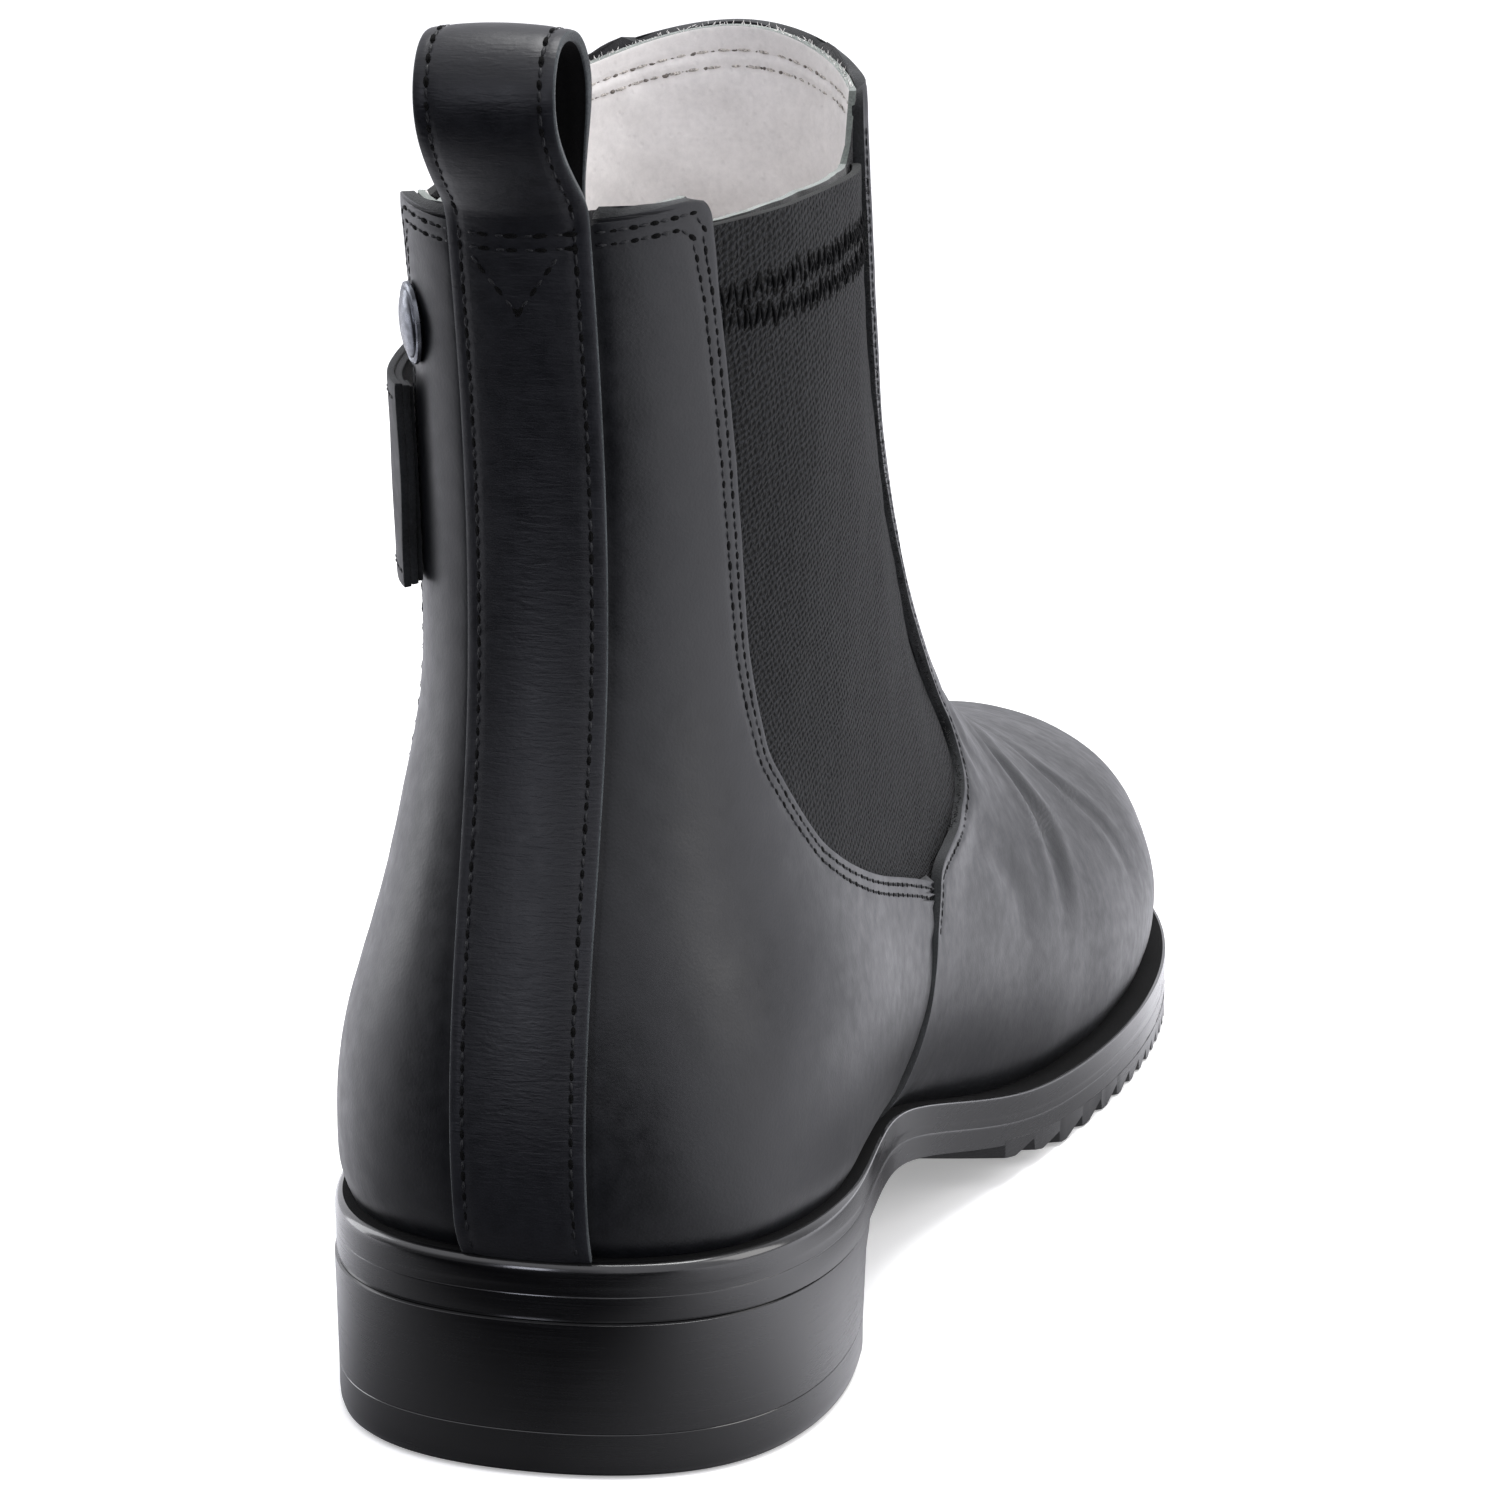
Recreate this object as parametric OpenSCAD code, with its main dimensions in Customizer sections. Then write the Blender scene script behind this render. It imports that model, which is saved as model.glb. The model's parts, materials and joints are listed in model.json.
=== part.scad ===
// Rider's ankle boot, left foot: leather upper with elastic side gores, back strap and pull loop,
// side strap with press stud, rubber sole with cleats and a stacked rubber heel.
// Frame: toe +Y, inner side of the foot +X, up +Z, heel centre on the ground at the origin.

/* [Boot] */
// Length of the sole from the back of the heel to the toe tip
boot_length = 288; // [240:1:346]
// Width of the sole across the ball of the foot
ball_width = 102; // [85:1:123]
// Width of the heel
heel_width = 72; // [58:1:87]
// Width of the shaft round the ankle
shaft_width = 57; // [46:1:69]
// Height of the heel seat above the ground
heel_height = 30; // [24:1:40]
// Height of the back seam above the ground
shaft_height = 164; // [136:1:200]
// Lift of the toe above the ground
toe_spring = 8; // [4:1:12]

/* [Leather] */
// Thickness of the upper leather
upper_t = 1.6; // [1.2:0.1:2]
// Thickness of the lining leather
lining_t = 1; // [0.7:0.1:1.4]
// Thickness of the elastic webbing
elastic_t = 1.2; // [0.9:0.1:1.5]
// Width of the back strap and pull loop
strap_width = 18; // [14:0.5:24]
// Height of the pull loop above the top line
loop_height = 22; // [18:1:30]
// Depth of the pull loop from front to back
loop_depth = 17; // [14:1:22]

/* [Side strap] */
// Height of the side strap
side_strap_h = 28; // [20:1:34]
// Thickness of the side strap
side_strap_t = 2; // [1.6:0.1:2.6]
// Diameter of the press stud cap
snap_d = 12; // [9:0.5:15]
// Length of the oval stud
oval_d = 11; // [8:0.5:14]

/* [Sole] */
// Height of the rand between upper and outsole
rand_h = 5; // [3.5:0.5:6.5]
// Thickness of the outsole web above the cleats
outsole_t = 3.6; // [3:0.1:5]
// Depth of the cleats
cleat_h = 2; // [1.2:0.1:2.6]
// Distance from cleat to cleat
cleat_pitch = 3.9; // [3:0.1:5]
// Thickness of the heel top piece
lift_t = 6; // [4:0.5:8]
// Overhang of the rand beyond the upper at the toe
welt_out = 3.4; // [2:0.1:5]

/* [Hidden] */

gap = 0.36;
ky = boot_length / 288;
kheel = heel_width / 72;
kball = ball_width / 102;
kshaft = shaft_width / 57;
kz = (shaft_height - heel_height) / 134;
sole_t = rand_h + outsole_t + cleat_h + 1.8;
// height of the feather line above the ground, column by column from the back to the toe tip
feather = [heel_height, heel_height, heel_height, heel_height / 2 + 9, sole_t - 2.4, sole_t - 0.4, sole_t + toe_spring - 2.4];
// shape net of the inner half: nine rows from the feather line to the top line, seven columns from the
// back seam to the toe tip, each [across, along, rise above the feather line]
net = [
 [[0,-36,0],     [28,-29.5,0],   [38,2,0],      [26,62,0],    [50,144,0],    [46,224,0],   [8,256,0]],
 [[0,-39,11],    [28.5,-31,11],  [38.8,1,12],   [32,64,11],   [52.5,143,13], [47.5,228,13],[8,261,13]],
 [[0,-39,24],    [27.5,-30,24],  [37.5,3,26],     [33,62,27],   [47,141,28],   [40.5,220,28],[8,254,29]],
 [[0,-37,38],    [24,-28,39],    [32,6,41],     [32,56,44],   [35,126,43],   [31,187,35],  [6,222,33]],
 [[0,-33,55],    [21,-25,56],    [28.5,7,58],   [29,50,63],   [26,98,63],    [22,143,48],  [4,170,42]],
 [[0,-30,72],    [19,-22,73],    [26.5,6,75],   [28,38,83],   [26,70,92],    [19,100,80],  [2,113,72]],
 [[0,-29,92],    [19,-22,93],    [28,3,96],     [28.3,30,106],[25.3,55,124],   [18,75,122],  [1,83,117]],
 [[0,-32,114],   [20,-25,116],   [27.3,0,120],  [28.2,25,130],[25.6,48,147], [17,65,147],  [1,72,143]],
 [[0,-37,134],   [21,-29,137],   [26,-3,142],   [27.3,22,150],[25.3,46,165], [16,62,168],  [1,68,166]]];
out_dx = [0, 0, 0, 10, 6, -8, 0];
out_dy = [0, 0, 0, 0, -8, -8, 0];
fade = [1, 0.8, 0.6, 0.35, 0.15, 0, 0, 0, 0];
lean = [0, 0, 0, 0.5, 1.5, 2.2, 2.5, 3.2, 3.5];
lean_col = [0, 0.5, 1, 1, 1, 1, 1];
to_shaft = [0, 0, 0.2, 0.6, 1, 1, 1, 1, 1];

function clamp01(t) = min(1, max(0, t));
function smooth(t) = let (s = clamp01(t)) s * s * (3 - 2 * s);
function mix(a, b, t) = a + (b - a) * t;
function unit(v) = v / norm(v);
function wrap(c) = ((c % 12) + 12) % 12;
// value of a [place, value] list at a place, straight between the given places
function at(list, x) = x <= list[0][0] ? list[0][1] : x >= list[len(list) - 1][0] ? list[len(list) - 1][1] :
  let (k = max([for (i = [0:len(list) - 2]) if (list[i][0] <= x) i]))
  mix(list[k][1], list[k + 1][1], (x - list[k][0]) / (list[k + 1][0] - list[k][0]));

function kx(r, y) = mix(mix(kheel, kball, smooth((y - 20) / 100)), kshaft, to_shaft[r]);
function control(r, c) =
  let (outer = c > 6, k = outer ? 12 - c : c, p = net[r][k],
       x = outer ? -(p.x + fade[r] * out_dx[k]) : p.x, y = outer ? p.y + fade[r] * out_dy[k] : p.y)
  [x * kx(r, p.y) + lean[r] * lean_col[k], y * ky, feather[k] + p.z * kz];
base_grid = [for (r = [0:8]) [for (c = [0:11]) control(r, c)]];
grid = concat([2 * base_grid[0] - base_grid[1]], base_grid, [2 * base_grid[8] - base_grid[7]]);

function bw(t) = [pow(1 - t, 3), 3 * t * t * t - 6 * t * t + 4, -3 * t * t * t + 3 * t * t + 3 * t + 1, t * t * t] / 6;
function bd(t) = [-pow(1 - t, 2), 3 * t * t - 4 * t, -3 * t * t + 2 * t + 1, t * t] / 2;
function blend4(iu, iv, bu, bv) = let (c = [for (b = [0:3]) wrap(iu - 1 + b)])
  bv * [for (a = [0:3]) let (g = grid[iv + a]) bu[0] * g[c[0]] + bu[1] * g[c[1]] + bu[2] * g[c[2]] + bu[3] * g[c[3]]];
// point of the boot surface: u runs round the boot (0 back, 3 inner waist, 6 toe, 9 outer waist), v from feather to top line
function surf(u, v) = let (iu = floor(u), iv = min(7, max(0, floor(v)))) blend4(iu, iv, bw(u - iu), bw(v - iv));
function surf_u(u, v) = let (iu = floor(u), iv = min(7, max(0, floor(v)))) blend4(iu, iv, bd(u - iu), bw(v - iv));
function surf_v(u, v) = let (iu = floor(u), iv = min(7, max(0, floor(v)))) blend4(iu, iv, bw(u - iu), bd(v - iv));
function face_normal(u, v) = unit(cross(surf_u(u, v), surf_v(u, v)));
function lifted(u, v, o) = surf(u, v) + o * face_normal(u, v);

// edges of the panels: place round the boot for each height
vamp_edge = [[0, 2.63], [0.5, 2.73], [1.4, 2.84], [2, 2.92], [2.6, 3.05], [3.1, 3.5], [3.5, 3.78], [4, 4.08], [4.5, 4.2],
  [5.1, 4.2], [5.7, 4.04], [6.2, 3.92], [6.7, 3.86], [7.2, 3.84], [8, 3.86]];
quarter_edge = [[0, 2.78], [1, 2.92], [2, 3.06], [2.4, 3.1], [2.6, 2.85], [2.8, 2.5], [3.1, 2.2], [3.4, 1.98], [3.8, 1.8],
  [4.3, 1.6], [5.1, 1.47], [5.8, 1.4], [6.4, 1.34], [7.3, 1.24], [7.8, 1.19], [8, 1.1]];
lining_edge = [[0, 2.9], [2.3, 2.9], [2.6, 2.75], [3.1, 2.2], [3.8, 1.8], [4.3, 1.62], [5.1, 1.5], [6.4, 1.38], [8, 1.3]];
rows_all = [0, 0.4, 0.8, 1.2, 1.6, 2, 2.4, 2.6, 2.8, 3.1, 3.4, 3.8, 4.3, 4.7, 5.1, 5.8, 6.4, 6.9, 7.3, 7.6, 7.8, 8];
function steps(n) = [for (i = [0:n]) i / n];

// a leather piece: a grid of surface places, thick from offset lo to offset hi
module piece(place, lo, hi, ss, tt) {
  nu = len(ss) - 1;
  nv = len(tt) - 1;
  uv = [for (t = tt) for (s = ss) place(s, t)];
  top = [for (p = uv) lifted(p[0], p[1], hi(p[0], p[1]))];
  bot = [for (p = uv) lifted(p[0], p[1], lo(p[0], p[1]))];
  K = len(uv);
  w = nu + 1;
  skin = [for (j = [0:nv - 1]) for (i = [0:nu - 1]) let (a = j * w + i, b = a + 1, d = a + w, c = d + 1)
    each [[a, c, b], [a, d, c], [K + a, K + b, K + c], [K + a, K + c, K + d]]];
  low = [for (i = [0:nu - 1]) let (a = i, b = i + 1) each [[a, b, K + b], [a, K + b, K + a]]];
  up = [for (i = [0:nu - 1]) let (d = nv * w + i, c = d + 1) each [[c, d, K + d], [c, K + d, K + c]]];
  right = [for (j = [0:nv - 1]) let (b = j * w + nu, c = b + w) each [[b, c, K + c], [b, K + c, K + b]]];
  left = [for (j = [0:nv - 1]) let (a = j * w, d = a + w) each [[d, a, K + a], [d, K + a, K + d]]];
  polyhedron(concat(top, bot), concat(skin, low, up, right, left), convexity = 8);
}

// a slab of stacked rings, top ring first; the caps are strips from side to side
module slab(rings, q) {
  n = len(rings[0]);
  R = len(rings);
  side = [for (r = [0:R - 2]) for (i = [0:n - 1]) let (a = r * n + i, b = r * n + (i + 1) % n, d = a + n, c = b + n)
    each [[a, b, c], [a, c, d]]];
  strip = [for (k = [0:floor(q / 2) - (q % 2 == 0 ? 1 : 0)]) let (p = (q - k) % n, p2 = q - k - 1) each [[k, p, p2], [k, p2, k + 1]]];
  flat = [for (f = strip) if (f[0] != f[1] && f[1] != f[2] && f[2] != f[0]) f];
  under = [for (f = flat) [f[2], f[1], f[0]] + (R - 1) * n * [1, 1, 1]];
  polyhedron([for (r = rings) each r], concat(side, flat, under), convexity = 6);
}

ring_n = 96;
function margin(y) = mix(1.1, welt_out, smooth((y / ky - 40) / 70));
// outward direction of the feather line seen from above
function out_dir(u) = let (t = surf_u(u, 0)) unit([t.y, -t.x, 0]);
function rim(u, off, dz) = surf(u, 0) + off * out_dir(u) + [0, 0, dz];
function ring(extra, dz) = [for (i = [0:ring_n - 1]) let (u = 12 * i / ring_n) rim(u, margin(surf(u, 0).y) + extra, dz)];
function ring_in(off, dz) = [for (i = [0:ring_n - 1]) let (u = 12 * i / ring_n) rim(u, off, dz)];

module vamp() color("#2b2c2f") {
  edge = function (u, v) min(u - at(vamp_edge, v), 12 - at(vamp_edge, v) - u);
  // the edge steps up only where it laps over the quarter; beside the gore it lies level with the quarter
  lap = function (v) mix(-upper_t, gap, smooth((3.3 - v) / 0.6));
  lo = function (u, v) mix(lap(v), -upper_t, smooth((edge(u, v) - 0.17) / 0.18));
  ss = concat([0, 0.025, 0.05, 0.075, 0.11, 0.15, 0.19, 0.24, 0.29, 0.335], [for (k = [0:11]) 0.375 + k * 0.25 / 11], [0.665, 0.71, 0.76, 0.81, 0.85, 0.89, 0.925, 0.95, 0.975, 1]);
  piece(function (s, v) [mix(at(vamp_edge, v), 12 - at(vamp_edge, v), s), v], lo, function (u, v) lo(u, v) + upper_t, ss, rows_all);
}

module quarter(outer) {
  tiny = 0.012;
  piece(function (s, v) outer ? [12 - mix(at(quarter_edge, v), tiny, s), v] : [mix(tiny, at(quarter_edge, v), s), v],
    function (u, v) -upper_t, function (u, v) 0, steps(9), rows_all);
}
module quarter_inner() color("#33343a") quarter(false);
module quarter_outer() color("#33343a") quarter(true);

function half_u(v) = strap_width / 2 / norm(surf_u(0, v));
module back_strap() color("#1d1d20")
  piece(function (s, v) [mix(-half_u(v), half_u(v), s), v], function (u, v) gap, function (u, v) gap + 1.4, steps(5),
    [for (i = [0:20]) 8 * i / 20]);

module loop_tail() color("#1d1d20")
  piece(function (s, v) [mix(-half_u(v), half_u(v), s), v], function (u, v) tail_o - 1.4, function (u, v) tail_o, steps(5),
    [7, 7.35, 7.7, 8]);

lining_o = -upper_t - elastic_t - 2 * gap - 0.15;
tail_o = lining_o - lining_t - gap;
gore_o = -upper_t - gap;
module gore(outer) {
  lo_u = function (v) at(quarter_edge, v) - mix(0.2, 0.32, smooth((3 - v) / 0.5));
  hi_u = function (v) at(vamp_edge, v) + 0.2;
  top_v = function (s) mix(7.8, 7.45, s);
  place = function (s, t) let (v = mix(2.42, top_v(s), t), u = mix(lo_u(v), hi_u(v), outer ? 1 - s : s)) outer ? [12 - u, v] : [u, v];
  tt = [0, 0.035, 0.08, 0.13, 0.19, 0.26, 0.33, 0.4, 0.47, 0.54, 0.62, 0.7, 0.78, 0.86, 0.94, 1];
  piece(outer ? function (s, t) let (v = mix(2.42, top_v(1 - s), t), u = mix(hi_u(v), lo_u(v), s)) [12 - u, v] : place,
    function (u, v) gore_o - elastic_t, function (u, v) gore_o, steps(13), tt);
}
module gore_inner() color("#1b1b1d") gore(false);
module gore_outer() color("#1b1b1d") gore(true);

// the lining ends level with the gores beside them and at the top line elsewhere
function lining_top(u) = let (w = min(abs(u), 12 - abs(u)))
  w < 1.17 || w > 4.02 ? 8 : 7.8 - 0.35 * (w - 0.99) / 3.07;
function lining_v(u, v) = v <= 7.3 ? v : 7.3 + (v - 7.3) * (lining_top(u) - 7.3) / 0.7;
module lining_front() color("#cdc8c3")
  piece(function (s, v) let (e = at(lining_edge, v) + 0.02, u = mix(e, 12 - e, s)) [u, lining_v(u, v)],
    function (u, v) lining_o - lining_t, function (u, v) lining_o, steps(34), rows_all);
module lining_rear() color("#cdc8c3")
  piece(function (s, v) let (e = at(lining_edge, v) - 0.01, u = mix(-e, e, s)) [u, lining_v(u, v)],
    function (u, v) lining_o - lining_t, function (u, v) lining_o, steps(18), rows_all);

stiff_o = gore_o - 0.18;
module heel_counter() color("#8a6a48")
  piece(function (s, t) let (u = mix(-2.25, 2.25, s)) [u, mix(0.1, 2.9 - 0.9 * pow(abs(u) / 2.25, 2), t)],
    function (u, v) stiff_o - 1, function (u, v) stiff_o, steps(20), steps(7));
module toe_puff() color("#8a6a48")
  piece(function (s, t) let (u = mix(4.9, 7.1, s)) [u, mix(0.1, 2.6 - 0.6 * pow(abs(u - 6) / 1.1, 2), t)],
    function (u, v) stiff_o - 1, function (u, v) stiff_o, steps(14), steps(6));

foot_in = lining_o - lining_t - 0.9;
module insole_board() color("#a58a63") slab([ring_in(foot_in, 4.4), ring_in(foot_in, 2.3)], ring_n);
module footbed() color("#c9c2ba") slab([ring_in(foot_in - 1.6, 7.2), ring_in(foot_in - 0.4, 6.4), ring_in(foot_in - 0.4, 4.7)], ring_n);

// the cork filler lies under the insole board ahead of the shank
filler_from = 3.55;
module forefoot_filler() color("#a9793f") {
  m = 40;
  f = function (dz) [for (i = [0:m - 1]) let (u = mix(filler_from, 12 - filler_from, i / (m - 1))) rim(u, foot_in - 0.5, dz)];
  slab([f(2), f(0.05)], m - 1);
}
module shank() color("#9a9da1") {
  m = 17;
  w = 7;
  // middle line of the waist, halfway between the two feather lines
  mid = function (t) let (u = mix(0.9, filler_from - 0.3, t)) (surf(u, 0) + surf(12 - u, 0)) / 2;
  f = function (dz) concat([for (i = [0:m - 1]) mid(1 - i / (m - 1)) + [-w, 0, dz]], [for (i = [0:m - 1]) mid(i / (m - 1)) + [w, 0, dz]]);
  slab([f(1.9), f(0.3)], 2 * m - 1);
}

module midsole_rand() color("#141416")
  slab([ring(-0.9, -0.5), ring(-0.25, -0.8), ring(0, -1.5), ring(0, -rand_h + 1.1), ring(-0.7, -rand_h + 0.4), ring(-0.7, -rand_h)], ring_n);

// ground side of the forefoot: flat under the ball, rising to the toe and to the waist
function tread_z(y) = let (a = 190 * ky, b = 130 * ky)
  y > a ? toe_spring * pow((y - a) / (62 * ky), 2) : y < b ? 6 * pow((b - y) / (60 * ky), 2) : 0;
module outsole() color("#141416") {
  slab([ring(-0.7, -rand_h - gap), ring(-0.1, -rand_h - 0.9), ring(-0.1, -rand_h - outsole_t + 0.4), ring(-0.5, -rand_h - outsole_t)], ring_n);
  y0 = 96 * ky;
  y1 = surf(6, 0).y + welt_out - 1;
  n = floor((y1 - y0) / cleat_pitch);
  lines = [for (i = [0:n]) y0 + i * cleat_pitch];
  foot = [for (i = [0:n - 1]) let (a = lines[i]) each [[a, tread_z(a) + cleat_h], [a + cleat_pitch * 0.32, tread_z(a + 0.32 * cleat_pitch)],
    [a + cleat_pitch * 0.68, tread_z(a + 0.68 * cleat_pitch)]]];
  roof = [for (i = [n:-4:0]) [lines[i], tread_top(lines[i])]];
  intersection() {
    rotate([90, 0, 90]) linear_extrude(height = 2 * ball_width, center = true) polygon(concat(foot, [[lines[n], tread_z(lines[n]) + cleat_h]], roof));
    translate([0, 0, -5]) linear_extrude(height = 60) polygon([for (p = ring(-0.5, 0)) [p.x, p.y]]);
  }
}
// height inside the outsole web above a place along the boot
web_line = [for (i = [0:24]) let (u = mix(2, 6, i / 24), p = (surf(u, 0) + surf(12 - u, 0)) / 2) [p.y, p.z - rand_h - outsole_t + 1]];
function tread_top(y) = max(tread_z(y) + cleat_h + 0.5, at(web_line, y));

breast_u = 2.28;
heel_m = 41;
function heel_ring(extra, z, lift, back) = [for (i = [0:heel_m - 1]) let (u = mix(-breast_u, breast_u, i / (heel_m - 1)), p = rim(u, margin(0) + extra, 0))
  [p.x, p.y - 0.8 - back * smooth((p.y - 5) / 20), lift ? p.z + z : z]];
module heel_block() color("#17171a")
  slab([heel_ring(-0.9, -rand_h - outsole_t - gap, true, 0), heel_ring(-0.6, -rand_h - outsole_t - 2, true, 1.5),
    heel_ring(-0.7, lift_t + 1, false, 3.5), heel_ring(-1, lift_t + gap, false, 3.5)], heel_m - 1);
module heel_lift() color("#101012")
  slab([heel_ring(-1, lift_t, false, 3.5), heel_ring(-0.6, lift_t - 0.7, false, 3.5), heel_ring(-0.4, 1.5, false, 3.5), heel_ring(-1.3, 0, false, 4)], heel_m - 1);

// places a module on the boot surface, its Z along the outward normal and its Y up the shaft
module on_surface(u, v, o) {
  p = lifted(u, v, o);
  z = face_normal(u, v);
  x = unit(cross(surf_v(u, v), z));
  y = cross(z, x);
  multmatrix([[x.x, y.x, z.x, p.x], [x.y, y.y, z.y, p.y], [x.z, y.z, z.z, p.z], [0, 0, 0, 1]]) children();
}
module dome(r, h, edge) rotate_extrude($fn = 40)
  polygon(concat([[0, 0], [r, 0], [r, edge]], [for (i = [1:7]) [r * cos(i * 90 / 8), edge + (h - edge) * sin(i * 90 / 8)]], [[0, h]]));

module oval_stud() color("#6d6f75") on_surface(-1.04, 7.2, 0.45) scale([0.72, 1, 1]) dome(oval_d / 2, 2.4, 0.5);

// side strap: sewn to the outer quarter at its back end, closed by the press stud at its front end
hinge_u = -1.37;
front_u = -4.3;
function strap_v(u) = 6.17 + 0.12 * (u - hinge_u);
function strap_dv(u) = side_strap_h / 2 / norm(surf_v(u, strap_v(u)));
function strap_o(u) = mix(1.1, 2.7 + upper_t, smooth((hinge_u - u) / 2.4));
module side_strap_base() color("#242528")
  piece(function (s, t) let (u = mix(hinge_u + 0.015, -1.1, s)) [u, strap_v(u) + mix(-1, 1, t) * strap_dv(u) - 0.16 * (1 - t) * (1 - s)],
    function (u, v) gap, function (u, v) 1.1 + side_strap_t, steps(2), steps(5));
module side_strap() color("#242528")
  piece(function (s, t) let (u = mix(front_u, hinge_u - 0.02, s), r = 1 - 0.3 * pow(clamp01((front_u + 0.45 - u) / 0.45), 2))
      [u, strap_v(u) + mix(-1, 1, t) * strap_dv(u) * r],
    function (u, v) strap_o(u), function (u, v) strap_o(u) + side_strap_t, steps(14), steps(5));
snap_u = -4.05;
module snap_cap() color("#77797f") on_surface(snap_u, strap_v(snap_u), strap_o(snap_u) + side_strap_t + 0.3) dome(snap_d / 2, 2.2, 0.6);
module snap_socket() color("#8e9096") on_surface(snap_u, strap_v(snap_u), strap_o(snap_u) - 1.35) difference() {
  cylinder(h = 1.1, r = snap_d * 0.4, $fn = 40);
  translate([0, 0, -1]) cylinder(h = 3, r = 2.9, $fn = 32);
}
module snap_stud() color("#8e9096") on_surface(snap_u, strap_v(snap_u), upper_t + gap + 0.3) rotate_extrude($fn = 32)
  polygon([[0, 0], [snap_d * 0.36, 0], [snap_d * 0.36, 0.4], [2.0, 0.6], [1.7, 0.9], [2.1, 1.3], [1.7, 1.6], [0, 1.7]]);

// pull loop: a band bent over in the back-to-front plane
rim_p = surf(0, 8);
loop_y0 = lifted(0, 8, gap + 0.7).y;
loop_y1 = lifted(0, 8, tail_o - 0.7).y;
loop_z = rim_p.z + 1.6;
loop_pts = let (h = loop_height, d = loop_depth) [
  [loop_y0, loop_z - 3], [loop_y0, loop_z], [loop_y0 - 0.24 * d, loop_z + 0.14 * h], [loop_y0 - 0.62 * d, loop_z + 0.42 * h], [loop_y0 - 0.74 * d, loop_z + 0.7 * h],
  [loop_y0 - 0.6 * d, loop_z + 0.97 * h], [loop_y0 - 0.3 * d, loop_z + 1.05 * h], [loop_y1 - 0.3 * d, loop_z + 0.99 * h], [loop_y1 - 0.07 * d, loop_z + 0.72 * h],
  [loop_y1 - 0.02 * d, loop_z + 0.35 * h], [loop_y1, loop_z], [loop_y1, loop_z - 3]];
loop_n = len(loop_pts) - 3;
function path_at(t) = let (i = min(loop_n - 1, floor(t)), b = bw(t - i)) b * [for (k = [0:3]) loop_pts[i + k]];
function path_dir(t) = let (i = min(loop_n - 1, floor(t)), b = bd(t - i)) unit(b * [for (k = [0:3]) loop_pts[i + k]]);
module pull_loop() color("#1d1d20") {
  ts = [for (i = [0:30]) loop_n * i / 30];
  a = [for (t = ts) let (d = path_dir(t)) path_at(t) + 0.7 * [d.y, -d.x]];
  b = [for (k = [30:-1:0]) let (t = ts[k], d = path_dir(t)) path_at(t) - 0.7 * [d.y, -d.x]];
  translate([rim_p.x, 0, 0]) rotate([90, 0, 90]) linear_extrude(height = strap_width, center = true) polygon(concat(a, b));
}

vamp();
quarter_inner();
quarter_outer();
back_strap();
loop_tail();
gore_inner();
gore_outer();
lining_front();
lining_rear();
heel_counter();
toe_puff();
insole_board();
footbed();
forefoot_filler();
shank();
midsole_rand();
outsole();
heel_block();
heel_lift();
oval_stud();
side_strap_base();
side_strap();
snap_cap();
snap_socket();
snap_stud();
pull_loop();
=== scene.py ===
"""Looks of a rider's ankle boot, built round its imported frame.

Every panel of the upper is laid on one last surface, given by u (round the boot, 12 to the turn: 0 back
seam, 3 inner waist, 6 toe tip, 9 outer waist; below 0 is the outer side) and v (0 feather line, 8 top line).
Shape work is in millimetres and finished meshes are in metres.
"""

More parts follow.
